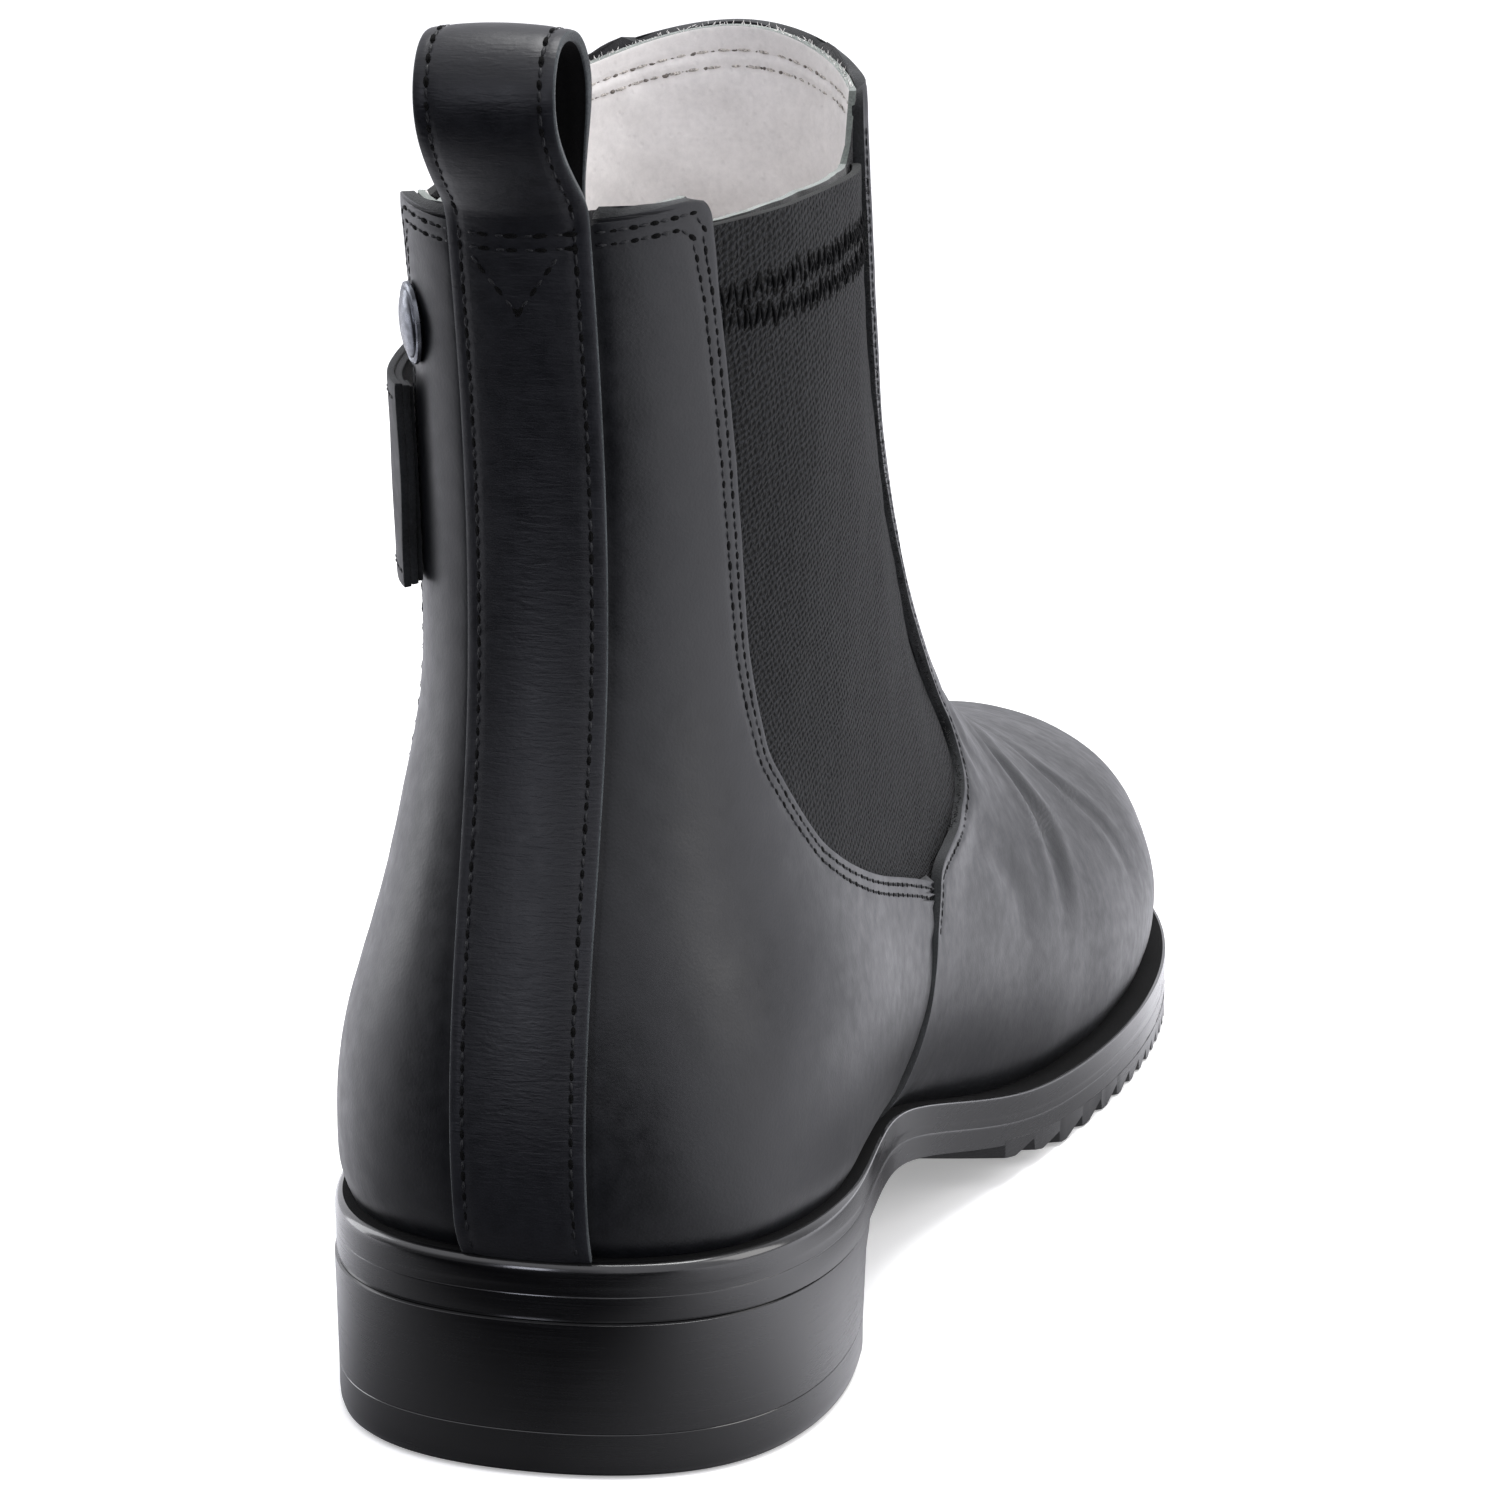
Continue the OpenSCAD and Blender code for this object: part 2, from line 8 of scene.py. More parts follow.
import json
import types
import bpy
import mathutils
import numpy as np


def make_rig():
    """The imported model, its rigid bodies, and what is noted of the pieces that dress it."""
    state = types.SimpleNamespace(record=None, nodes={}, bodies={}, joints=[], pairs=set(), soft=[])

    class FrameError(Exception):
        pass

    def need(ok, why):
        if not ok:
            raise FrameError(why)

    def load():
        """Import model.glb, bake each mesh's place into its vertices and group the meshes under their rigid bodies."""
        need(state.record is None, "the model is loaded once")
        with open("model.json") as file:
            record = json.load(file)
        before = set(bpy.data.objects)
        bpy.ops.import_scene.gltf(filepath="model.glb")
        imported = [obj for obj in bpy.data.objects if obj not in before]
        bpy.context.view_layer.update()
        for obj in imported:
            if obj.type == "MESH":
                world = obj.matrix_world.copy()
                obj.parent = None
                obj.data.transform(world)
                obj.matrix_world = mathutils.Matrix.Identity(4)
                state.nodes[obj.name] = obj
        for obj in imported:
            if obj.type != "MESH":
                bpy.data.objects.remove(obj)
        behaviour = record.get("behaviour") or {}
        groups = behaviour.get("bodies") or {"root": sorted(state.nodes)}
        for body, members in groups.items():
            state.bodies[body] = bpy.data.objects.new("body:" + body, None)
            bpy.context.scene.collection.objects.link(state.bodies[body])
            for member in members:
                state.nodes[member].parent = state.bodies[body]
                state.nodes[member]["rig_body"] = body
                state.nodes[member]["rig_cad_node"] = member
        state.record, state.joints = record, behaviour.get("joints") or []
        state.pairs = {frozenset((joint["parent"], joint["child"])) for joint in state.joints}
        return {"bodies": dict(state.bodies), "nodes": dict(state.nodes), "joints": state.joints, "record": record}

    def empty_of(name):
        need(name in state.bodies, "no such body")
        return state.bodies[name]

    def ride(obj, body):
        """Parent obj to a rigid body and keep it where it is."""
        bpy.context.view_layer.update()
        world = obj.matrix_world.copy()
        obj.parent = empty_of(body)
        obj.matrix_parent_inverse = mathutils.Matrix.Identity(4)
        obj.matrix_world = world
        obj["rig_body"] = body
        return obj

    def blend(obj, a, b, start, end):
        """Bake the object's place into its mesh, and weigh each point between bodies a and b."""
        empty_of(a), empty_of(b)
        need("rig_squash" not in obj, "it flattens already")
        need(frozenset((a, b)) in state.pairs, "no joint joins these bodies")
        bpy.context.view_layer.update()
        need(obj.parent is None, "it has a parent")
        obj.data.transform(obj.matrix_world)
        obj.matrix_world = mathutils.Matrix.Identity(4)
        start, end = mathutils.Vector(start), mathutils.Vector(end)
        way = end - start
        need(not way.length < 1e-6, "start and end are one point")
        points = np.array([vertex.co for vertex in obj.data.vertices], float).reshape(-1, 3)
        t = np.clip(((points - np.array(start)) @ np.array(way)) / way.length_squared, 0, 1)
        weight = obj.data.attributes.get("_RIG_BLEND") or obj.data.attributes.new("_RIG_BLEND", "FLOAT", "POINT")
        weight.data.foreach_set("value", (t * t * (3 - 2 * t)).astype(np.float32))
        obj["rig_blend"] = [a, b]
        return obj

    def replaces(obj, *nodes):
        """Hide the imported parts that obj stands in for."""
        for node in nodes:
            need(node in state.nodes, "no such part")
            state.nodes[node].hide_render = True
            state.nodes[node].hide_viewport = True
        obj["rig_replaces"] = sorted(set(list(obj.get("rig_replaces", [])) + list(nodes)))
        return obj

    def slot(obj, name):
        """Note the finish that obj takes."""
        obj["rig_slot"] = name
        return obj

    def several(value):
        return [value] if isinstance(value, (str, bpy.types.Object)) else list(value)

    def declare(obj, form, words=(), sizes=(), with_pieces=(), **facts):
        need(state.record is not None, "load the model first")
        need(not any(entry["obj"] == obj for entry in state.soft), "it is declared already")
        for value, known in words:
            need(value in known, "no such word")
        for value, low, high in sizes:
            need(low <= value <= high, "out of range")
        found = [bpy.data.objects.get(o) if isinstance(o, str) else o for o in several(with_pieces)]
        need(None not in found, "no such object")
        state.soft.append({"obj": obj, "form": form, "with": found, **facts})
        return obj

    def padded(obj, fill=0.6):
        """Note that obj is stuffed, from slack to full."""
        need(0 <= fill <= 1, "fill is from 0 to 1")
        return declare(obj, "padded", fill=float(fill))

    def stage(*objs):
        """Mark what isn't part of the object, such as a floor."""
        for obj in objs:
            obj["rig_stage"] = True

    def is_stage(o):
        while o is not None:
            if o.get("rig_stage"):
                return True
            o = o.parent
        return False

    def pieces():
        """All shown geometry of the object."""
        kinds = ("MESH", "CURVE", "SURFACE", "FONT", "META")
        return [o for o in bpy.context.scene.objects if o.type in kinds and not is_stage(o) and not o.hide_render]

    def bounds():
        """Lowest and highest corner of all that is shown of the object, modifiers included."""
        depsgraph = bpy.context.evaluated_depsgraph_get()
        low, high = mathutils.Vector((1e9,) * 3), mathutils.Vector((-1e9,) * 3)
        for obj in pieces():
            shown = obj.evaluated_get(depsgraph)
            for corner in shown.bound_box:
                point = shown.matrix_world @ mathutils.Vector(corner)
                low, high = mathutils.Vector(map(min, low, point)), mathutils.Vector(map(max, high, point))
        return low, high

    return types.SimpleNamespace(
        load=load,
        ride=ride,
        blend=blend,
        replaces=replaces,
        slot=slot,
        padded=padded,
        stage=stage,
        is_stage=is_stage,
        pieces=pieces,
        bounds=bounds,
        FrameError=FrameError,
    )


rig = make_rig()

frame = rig.load()

import json
import math

import bpy
import bmesh
import numpy as np
from bpy.props import FloatProperty, FloatVectorProperty, PointerProperty
from bpy.types import Operator, Panel, PropertyGroup
from mathutils import Vector
from mathutils.bvhtree import BVHTree
from mathutils.kdtree import KDTree

CAD_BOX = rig.bounds()

bl_info = {
    "name": "Rider's ankle boot",
    "version": (1, 0, 0),
    "blender": (4, 5, 0),
    "location": "View3D > Sidebar > Boot",
    "description": "Builds the leather, elastic, stitching and sole of a rider's ankle boot",
    "category": "Object",
}

MM = 0.001
TOP = 8.0           # v of the top line
ROW_MM = 19.0       # rise of the top line's last step of v
UPPER_T, LINING_T, ELASTIC_T, STRAP_T, SIDE_T = 1.6, 1.0, 1.2, 1.4, 2.0     # thicknesses
GAP = 0.36          # room between two layers
# heights over the last of the outer faces of the gores, the lining and the loop's tail
GORE_O = -UPPER_T - GAP
LINING_O = -UPPER_T - ELASTIC_T - 2 * GAP - 0.15
TAIL_O = LINING_O - LINING_T - GAP
STRAP_W, LOOP_H, LOOP_D = 18.0, 22.0, 17.0
RAND_H, OUTSOLE_T, CLEAT_H, CLEAT_PITCH, LIFT_T = 5.0, 3.6, 2.0, 3.9, 6.0
HINGE_U, STRAP_FRONT_U, SNAP_U, SIDE_H = -1.37, -4.3, -4.05, 28.0
SKIVED = 0.5        # rise of the vamp's thinned edge over the quarter
CORNER_R = 3.0      # rounding of the panels' top corners
# rows of stitching, in millimetres down from the top line (the gathers' from their own upper row);
# the quarters' are paired with the distance in from the gore
QUARTER_ROWS = ((1.8, 1.1), (3.5, 2.6))
VAMP_ROWS, LINING_ROWS, CROSS_ROWS, GATHER_ROWS = (2.0, 3.8), (3.2, 5.2), (0.8, 2.5), (0.0, 3.3)
CALF_SKINS = ("box_calf_leather", "cut_leather_edge", "leather_flesh_side")       # face, cut edge and back
SIDE_SKINS = ("side_strap_leather", "cut_leather_edge", "leather_flesh_side")


# ------------------------------------------------------------------ sizes and colours

def linear(code):
    """sRGB hex code as the linear colour that Blender works in."""
    parts = [int(code[i:i + 2], 16) / 255 for i in (1, 3, 5)]
    return tuple(c / 12.92 if c <= 0.04045 else ((c + 0.055) / 1.055) ** 2.4 for c in parts)


def colour(name, description, code):
    return FloatVectorProperty(name=name, description=description, subtype="COLOR", size=3, min=0, max=1,
                               default=linear(code))


def length(name, description, value):
    return FloatProperty(name=name, description=description, unit="LENGTH", subtype="DISTANCE", precision=5,
                         default=value)


def power(name, description, value):
    return FloatProperty(name=name, description=description, unit="POWER", default=value)


class BootLeather(PropertyGroup):
    crease: length("Crease depth", "Depth of the walking creases over the instep", 0.0011)
    seam: length("Seam depth", "How far the stitching pulls the leather in", 0.00014)
    calf: colour("Calf", "Black box calf of vamp and quarters", "#131417")
    strap: colour("Strap", "Smooth strap leather of the back strap and pull loop", "#101116")
    lining: colour("Lining", "Undyed pigskin lining", "#f1eeec")


class BootThread(PropertyGroup):
    pitch: length("Stitch length", "Distance from needle hole to needle hole in the leather", 0.0028)
    thick: length("Thread", "Thickness of the sewing thread", 0.00050)
    black: colour("Thread colour", "Black polyester thread", "#141518")


class BootElastic(PropertyGroup):
    rib: length("Rib", "Distance from rib to rib of the webbing", 0.00118)
    yarn: colour("Yarn", "Covering yarn of the elastic webbing", "#101113")


class BootSole(PropertyGroup):
    rubber: colour("Rubber", "Black moulded rubber", "#070708")
    metal: colour("Metal", "Gunmetal plating of studs", "#83868d")


class BootStage(PropertyGroup):
    key: power("Key light", "Power of the right softbox", 7.0)
    fill: power("Fill light", "Power of the left softbox", 5.0)
    top: power("Top light", "Power of the overhead softbox", 14.0)
    strip: power("Strip light", "Power of the narrow light behind the heel", 2.2)


# ------------------------------------------------------------------ the last

FEATHER = [30, 30, 30, 24, 10, 12, 18]
NET = np.array([
    [[0, -36, 0], [28, -29.5, 0], [38, 2, 0], [26, 62, 0], [50, 144, 0], [46, 224, 0], [8, 256, 0]],
    [[0, -39, 11], [28.5, -31, 11], [38.8, 1, 12], [32, 64, 11], [52.5, 143, 13], [47.5, 228, 13], [8, 261, 13]],
    [[0, -39, 24], [27.5, -30, 24], [37.5, 3, 26], [33, 62, 27], [47, 141, 28], [40.5, 220, 28], [8, 254, 29]],
    [[0, -37, 38], [24, -28, 39], [32, 6, 41], [32, 56, 44], [35, 126, 43], [31, 187, 35], [6, 222, 33]],
    [[0, -33, 55], [21, -25, 56], [28.5, 7, 58], [29, 50, 63], [26, 98, 63], [22, 143, 48], [4, 170, 42]],
    [[0, -30, 72], [19, -22, 73], [26.5, 6, 75], [28, 38, 83], [26, 70, 92], [19, 100, 80], [2, 113, 72]],
    [[0, -29, 92], [19, -22, 93], [28, 3, 96], [28.3, 30, 106], [25.3, 55, 124], [18, 75, 122], [1, 83, 117]],
    [[0, -32, 114], [20, -25, 116], [27.3, 0, 120], [28.2, 25, 130], [25.6, 48, 147], [17, 65, 147], [1, 72, 143]],
    [[0, -37, 134], [21, -29, 137], [26, -3, 142], [27.3, 22, 150], [25.3, 46, 165], [16, 62, 168], [1, 68, 166]]
], float)
OUT_DX, OUT_DY = [0, 0, 0, 10, 6, -8, 0], [0, 0, 0, 0, -8, -8, 0]
FADE = [1, 0.8, 0.6, 0.35, 0.15, 0, 0, 0, 0]
LEAN, LEAN_COLUMN = [0, 0, 0, 0.5, 1.5, 2.2, 2.5, 3.2, 3.5], [0, 0.5, 1, 1, 1, 1, 1]

VAMP_EDGE = [[0, 2.63], [.5, 2.73], [1.4, 2.84], [2, 2.92], [2.6, 3.05], [3.1, 3.5], [3.5, 3.78], [4, 4.08],
             [4.5, 4.2], [5.1, 4.2], [5.7, 4.04], [6.2, 3.92], [6.7, 3.86], [7.2, 3.84], [8, 3.86]]
QUARTER_EDGE = [[0, 2.78], [1, 2.92], [2, 3.06], [2.4, 3.1], [2.6, 2.85], [2.8, 2.5], [3.1, 2.2], [3.4, 1.98],
                [3.8, 1.8], [4.3, 1.6], [5.1, 1.47], [5.8, 1.4], [6.4, 1.34], [7.3, 1.24], [7.8, 1.2], [8, 1.18]]
LINING_EDGE = [[0, 2.9], [2.3, 2.9], [2.6, 2.75], [3.1, 2.2], [3.8, 1.8], [4.3, 1.62], [5.1, 1.5], [6.4, 1.38],
               [8, 1.3]]


def control_net():
    net = np.zeros((11, 12, 3))
    for r in range(9):
        for c in range(12):
            k = 12 - c if c > 6 else c
            across, along, rise = NET[r][k]
            if c > 6:
                across, along = -(across + FADE[r] * OUT_DX[k]), along + FADE[r] * OUT_DY[k]
            net[r + 1, c] = across + LEAN[r] * LEAN_COLUMN[k], along, FEATHER[k] + rise
    net[0], net[10] = 2 * net[1] - net[2], 2 * net[9] - net[8]
    return net


CONTROL = control_net()
# the drawn feather line rises at the waist and dips at the ball, against the frame's
SPRING_U = [2.1, 2.3, 2.5, 2.73, 2.91, 3.05, 3.16, 3.26, 3.36, 3.46, 3.56, 3.67, 3.78, 3.9, 4.03, 4.2, 4.4, 4.7]
SPRING_MM = [0, .5, 1.3, 1.7, .6, -.5, -1.5, -2.3, -3.0, -3.6, -3.8, -3.6, -3.0, -2.3, -1.5, -.8, -.3, 0]


def weights(t):
    return np.stack([(1 - t) ** 3, 3 * t ** 3 - 6 * t * t + 4, -3 * t ** 3 + 3 * t * t + 3 * t + 1, t ** 3]) / 6


def slopes(t):
    return np.stack([-(1 - t) ** 2, 3 * t * t - 4 * t, -3 * t * t + 2 * t + 1, t * t]) / 2


def waist_shift(u, v):
    """Rise in millimetres of the drawn feather line over the frame's."""
    w = np.abs((np.asarray(u, float) + 6) % 12 - 6)
    taps = (-0.12, -0.06, 0, 0.06, 0.12)
    rise = sum(np.interp(w + k, SPRING_U, SPRING_MM) for k in taps) / len(taps)
    return rise * (1 - smooth(np.asarray(v, float) / 1.7))


def last(u, v):
    """Points of the last surface and its slopes along u and v, in millimetres."""
    u, v = np.broadcast_arrays(np.asarray(u, float), np.asarray(v, float))
    iu, iv = np.floor(u).astype(int), np.clip(np.floor(v).astype(int), 0, 7)
    wu, wv, su, sv = weights(u - iu), weights(v - iv), slopes(u - iu), slopes(v - iv)
    place, along, up = np.zeros(u.shape + (3,)), np.zeros(u.shape + (3,)), np.zeros(u.shape + (3,))
    for a in range(4):
        for b in range(4):
            g = CONTROL[iv + a, (iu - 1 + b) % 12]
            place += (wv[a] * wu[b])[..., None] * g
            along += (wv[a] * su[b])[..., None] * g
            up += (sv[a] * wu[b])[..., None] * g
    place[..., 2] += waist_shift(u, v)
    return place, along, up


def unit(x):
    return x / np.maximum(np.linalg.norm(x, axis=-1, keepdims=True), 1e-12)


def outward(u, v):
    _, along, up = last(u, v)
    return unit(np.cross(along, up))


def from_seam(u):
    """u counted from the back seam on either side."""
    return np.minimum(np.abs(u), 12 - np.abs(u))


def tuck(u, v):
    """How far the upper is drawn in under its feather line, in millimetres."""
    forward = smooth((from_seam(u) - 2) / 1.5)
    return -mix(1.2, 0.9, forward) * np.clip(1 - np.asarray(v, float) / mix(0.5, 0.34, forward), 0, 1.15) ** 2


def lifted(u, v, height):
    place, along, up = last(u, v)
    return place + unit(np.cross(along, up)) * (np.asarray(height, float) + tuck(u, v))[..., None]


def smooth(t):
    s = np.clip(t, 0, 1)
    return s * s * (3 - 2 * s)


def mix(a, b, t):
    return a + (b - a) * t


def eased(table, reach=0.16):
    """The table's line with its corners eased over a short reach."""
    places, values = [row[0] for row in table], [row[1] for row in table]
    taps = np.linspace(-1, 1, 9)
    shares = [1 - abs(k) * 0.9 for k in taps]

    def value(v):
        v = np.asarray(v, float)
        return sum(np.interp(v + k * reach, places, values) * s for k, s in zip(taps, shares)) / sum(shares)
    return value


vamp_line, quarter_line, lining_line = eased(VAMP_EDGE), eased(QUARTER_EDGE), eased(LINING_EDGE, 0.05)


def slant(edge, v):
    """u that one millimetre square to an edge is worth at height v, measured along u."""
    v = np.asarray(v, float)
    step = 0.02
    below, above = np.clip(v - step, 0, TOP), np.clip(v + step, 0, TOP)
    run = unit(last(edge(above), above)[0] - last(edge(below), below)[0])
    _, along, _ = last(edge(v), v)
    size = np.linalg.norm(along, axis=-1)
    lean = (along * run).sum(-1) / size
    return 1 / (size * np.sqrt(np.maximum(1 - lean ** 2, 0.09)))


def corner(v, radius):
    """How far a rounded top corner is cut in, in millimetres, at height v."""
    down = np.clip(radius - (TOP - np.asarray(v, float)) * ROW_MM, 0, radius)
    return radius - np.sqrt(np.maximum(radius ** 2 - down ** 2, 0))


def rounded(edge, side):
    """An edge with its top corner rounded; side is +1 where the panel lies at higher u."""
    return lambda v: edge(v) + side * corner(v, CORNER_R) * slant(edge, v)


# ------------------------------------------------------------------ making meshes

# millimetres in from an edge, where a panel's rows and columns lie close
NEAR = np.array([0, 0.55, 0.95, 1.35, 1.75, 2.15, 2.55, 3.0, 3.45, 3.9, 4.4, 5.0, 5.8, 6.8])


def rest():
    if bpy.context.object and bpy.context.object.mode != "OBJECT":
        bpy.ops.object.mode_set(mode="OBJECT")
    bpy.ops.object.select_all(action="DESELECT")


def named(name):
    piece = bpy.context.object
    piece.name = piece.data.name = name
    return piece


def only(piece):
    rest()
    piece.select_set(True)
    bpy.context.view_layer.objects.active = piece


def set_points(piece, points):
    piece.data.vertices.foreach_set("co", (np.asarray(points).reshape(-1, 3) * MM).astype(np.float32).ravel())
    piece.location, piece.rotation_euler, piece.scale = (0, 0, 0), (0, 0, 0), (1, 1, 1)
    piece.data.update()


def apply(piece, kind, **settings):
    """Adds one modifier to a piece and applies it."""
    only(piece)
    modifier = piece.modifiers.new(kind.lower(), kind)
    for key, value in settings.items():
        setattr(modifier, key, value)
    bpy.ops.object.modifier_apply(modifier=modifier.name)


def smooth_faces(piece, angle):
    only(piece)
    bpy.ops.object.shade_smooth_by_angle(angle=math.radians(angle))


def dress(piece, body, slot, *finishes):
    """Gives a piece its materials, its body and its slot in the record."""
    if not piece.data.materials:
        for finish in finishes:
            piece.data.materials.append(material(finish))
    if body:
        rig.ride(piece, body)
    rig.slot(piece, slot)
    return piece


def sheet_of(name, points, thickness, finishes, body, slot, edge=0.3, rim=None, segments=2):
    """A cut panel: a flat grid laid on its rows of points, thickened inwards, its cut edge broken.
    finishes are the face, the cut edge and the back. No primitive is near the shape of a lasted panel,
    so the grid's points are placed by the last surface."""
    rows, columns = points.shape[:2]
    rest()
    bpy.ops.mesh.primitive_grid_add(x_subdivisions=columns - 1, y_subdivisions=rows - 1, size=1)
    piece = named(name)
    set_points(piece, points)
    steps = np.linalg.norm(np.diff(points, axis=1), axis=-1)
    across = np.concatenate([np.zeros((rows, 1)), np.cumsum(steps, axis=1)], axis=1)
    across -= across[:, columns // 2:columns // 2 + 1]
    middle = points[:, columns // 2]
    rise = np.concatenate([[0], np.cumsum(np.linalg.norm(np.diff(middle, axis=0), axis=-1))])
    flat = np.stack([across, np.broadcast_to(rise[:, None], across.shape)], -1).reshape(-1, 2)
    loops = np.zeros(len(piece.data.loops), np.int32)
    piece.data.loops.foreach_get("vertex_index", loops)
    piece.data.uv_layers[0].data.foreach_set("uv", flat[loops].astype(np.float32).ravel())
    if rim is not None:
        worn = piece.data.attributes.new("rim", "FLOAT", "POINT")
        worn.data.foreach_set("value", np.asarray(rim, np.float32).ravel())
    for finish in finishes:
        piece.data.materials.append(material(finish))
    apply(piece, "SOLIDIFY", thickness=thickness * MM, offset=-1, material_offset=2, material_offset_rim=1)
    apply(piece, "BEVEL", width=edge * MM, segments=segments, limit_method="ANGLE",
          angle_limit=math.radians(50), material=1)
    smooth_faces(piece, 50)
    return dress(piece, body, slot, *finishes)


def near_edges(left, right, v, near_left, near_right, middle):
    """u of every column at each height v, with close columns beside both edges."""
    v = v[:, None]
    a = left(v) + near_left[None] * slant(left, v)
    b = right(v) - near_right[None, ::-1] * slant(right, v)
    between = np.linspace(0, 1, middle + 2)[1:-1][None]
    return np.concatenate([a, a[:, -1:] + (b[:, :1] - a[:, -1:]) * between, b], axis=1)


def rows_up(count):
    """Heights from just under the feather line to the top line, close together in the last seven millimetres."""
    close = TOP - NEAR[::-1] / ROW_MM
    return np.concatenate([np.linspace(-0.08, close[0], count)[:-1], close])


def line_tree(lines):
    points = np.concatenate([line["points"] for line in lines])
    tree = KDTree(len(points))
    for i, p in enumerate(points):
        tree.insert(p, i)
    tree.balance()
    return tree


def distance_to(lines, points):
    tree = line_tree(lines)
    return np.array([tree.find(p)[2] for p in points.reshape(-1, 3)]).reshape(points.shape[:-1])


def pulled_in(lines, points, depth):
    """Relief in millimetres where lines of stitching pull the leather in."""
    return -depth * np.exp(-(distance_to(lines, points) / 0.75) ** 2)


def ripple(points, size, seed):
    """Gentle unevenness in millimetres of height 1, with waves about size across."""
    draw = np.random.default_rng(seed)
    total = 0
    for _ in range(7):
        way = unit(draw.normal(size=3)) * (2 * math.pi / size) * draw.uniform(0.6, 1.6)
        total = total + np.sin(points @ way + draw.uniform(0, 6.28))
    return total / 7 ** 0.5


def eased_route(values, count, reach):
    """A fold's places joined up by count points, with the corners eased over reach points either way."""
    joined = np.interp(np.linspace(0, 1, count), np.linspace(0, 1, len(values)), values)
    return np.convolve(np.pad(joined, reach, mode="edge"), np.ones(2 * reach + 1) / (2 * reach + 1), "valid")


def creased(points, creases):
    """Relief of soft folds: each is a list of (u, v) places, a depth and a width in millimetres."""
    count, reach = 900, 97       # so close that no point of a fold shows
    total = np.zeros(points.shape[:-1])
    for places, depth, width in creases:
        u, v = np.array(places, float).T
        tree = line_tree([{"points": last(eased_route(u, count, reach), eased_route(v, count, reach))[0]}])
        found = [tree.find(p) for p in points.reshape(-1, 3)]
        away = np.array([f[2] for f in found]).reshape(total.shape)
        share = np.array([f[1] for f in found]).reshape(total.shape) / (count - 1)
        # a fold fades at its ends, and a long one is shallower over the middle of the foot
        slack = 1 - 0.45 * (len(u) > 6) * np.exp(-((share - 0.5) / 0.16) ** 2)
        ends = np.sin(np.pi * np.clip(share, 0, 1)) ** 0.8 * slack
        shoulder = 0.55 * np.exp(-((away - 1.7 * width) / width) ** 2)
        total += ends * depth * (shoulder - np.exp(-(away / width) ** 2))
    return total


# ------------------------------------------------------------------ seams

def line_on(u, v, height, inset=0.0, towards=0):
    """A seam on the last at places (u, v), moved sideways by inset millimetres towards lower (-1) or
    higher (+1) u."""
    u, v = np.array(u, float), np.array(v, float)
    for _ in range(2 if np.any(inset) else 0):
        place, along, up = last(u, v)
        run = unit(np.gradient(place, axis=0))
        side = np.cross(unit(np.cross(along, up)), run)
        side *= np.sign((side * along).sum(-1).mean()) * towards
        aa, ab, bb = (along * along).sum(-1), (along * up).sum(-1), (up * up).sum(-1)
        pa, pb = (side * along).sum(-1) * inset / 2, (side * up).sum(-1) * inset / 2
        det = aa * bb - ab * ab
        u, v = u + (pa * bb - pb * ab) / det, v + (pb * aa - pa * ab) / det
    return {"points": lifted(u, v, np.broadcast_to(height, u.shape)), "normals": outward(u, v), "u": u, "v": v}


def top_and_edge(edge, side, start_u, end_v, radius):
    """Places along the top line from start_u, round the corner and down an edge to end_v."""
    angle = np.linspace(0, math.pi / 2, 14)
    aside, down = radius - radius * np.sin(angle), radius - radius * np.cos(angle)
    v_round = TOP - down / ROW_MM
    u_round = edge(v_round) + side * aside * slant(edge, v_round)
    v_down = np.linspace(v_round[-1], end_v, 260)[1:]
    u_top = np.linspace(start_u, u_round[0], 60)[:-1]
    return (np.concatenate([u_top, u_round, edge(v_down)]),
            np.concatenate([np.full(len(u_top), TOP), v_round, v_down]))


def quarter_seams(outer):
    """The two rows of stitching along the top and the gore edge of a quarter."""
    rows = []
    for at_top, at_gore in QUARTER_ROWS:
        u, v = top_and_edge(quarter_line, -1, 0.3, 2.5, at_top + 2.2)
        inset = mix(at_gore, at_top, smooth((v - 7.3) / 0.5))
        line = line_on(-u if outer else u, v, 0.0, inset, 1 if outer else -1)
        keep = (np.abs(line["u"]) < vamp_line(line["v"]) - 0.02) & (np.abs(line["u"]) > 0.42)
        rows.append({k: line[k][keep] for k in line})
    return rows


def vamp_seams():
    """The row beside each gore, and the two along the top of the vamp."""
    v = np.linspace(7.75, 2.05, 240)
    edge, height = vamp_line(v), vamp_height(vamp_line(v) + 0.05, v)
    rows = [line_on(edge, v, height, 1.5, 1), line_on(12 - edge, v, height, 1.5, -1)]
    for down in VAMP_ROWS:
        u = np.linspace(3.98 + down * 0.03, 8.02 - down * 0.03, 240)
        rows.append(line_on(u, np.full(240, TOP - down / ROW_MM), 0.0))
    return rows


def vamp_height(u, v):
    """Height of the vamp's face: its edge steps up where it laps over the quarter."""
    edge = np.minimum(u - vamp_line(v), 12 - vamp_line(v) - u)
    return SKIVED * smooth((3.3 - v) / 0.6) * (1 - smooth((edge - 0.1) / 0.15))


def gore_top(u):
    """Height of a gore's top edge at u, counted from the back seam on either side."""
    return 7.8 - 0.35 * (np.clip(np.abs(u), 0.99, 4.06) - 0.99) / 3.07


def lining_top(u):
    w = from_seam(u)
    inside = smooth((w - 1.08) / 0.12) * smooth((3.88 - w) / 0.06)
    return mix(TOP - 0.01, gore_top(w), inside)


# ------------------------------------------------------------------ back strap and pull loop as one ribbon

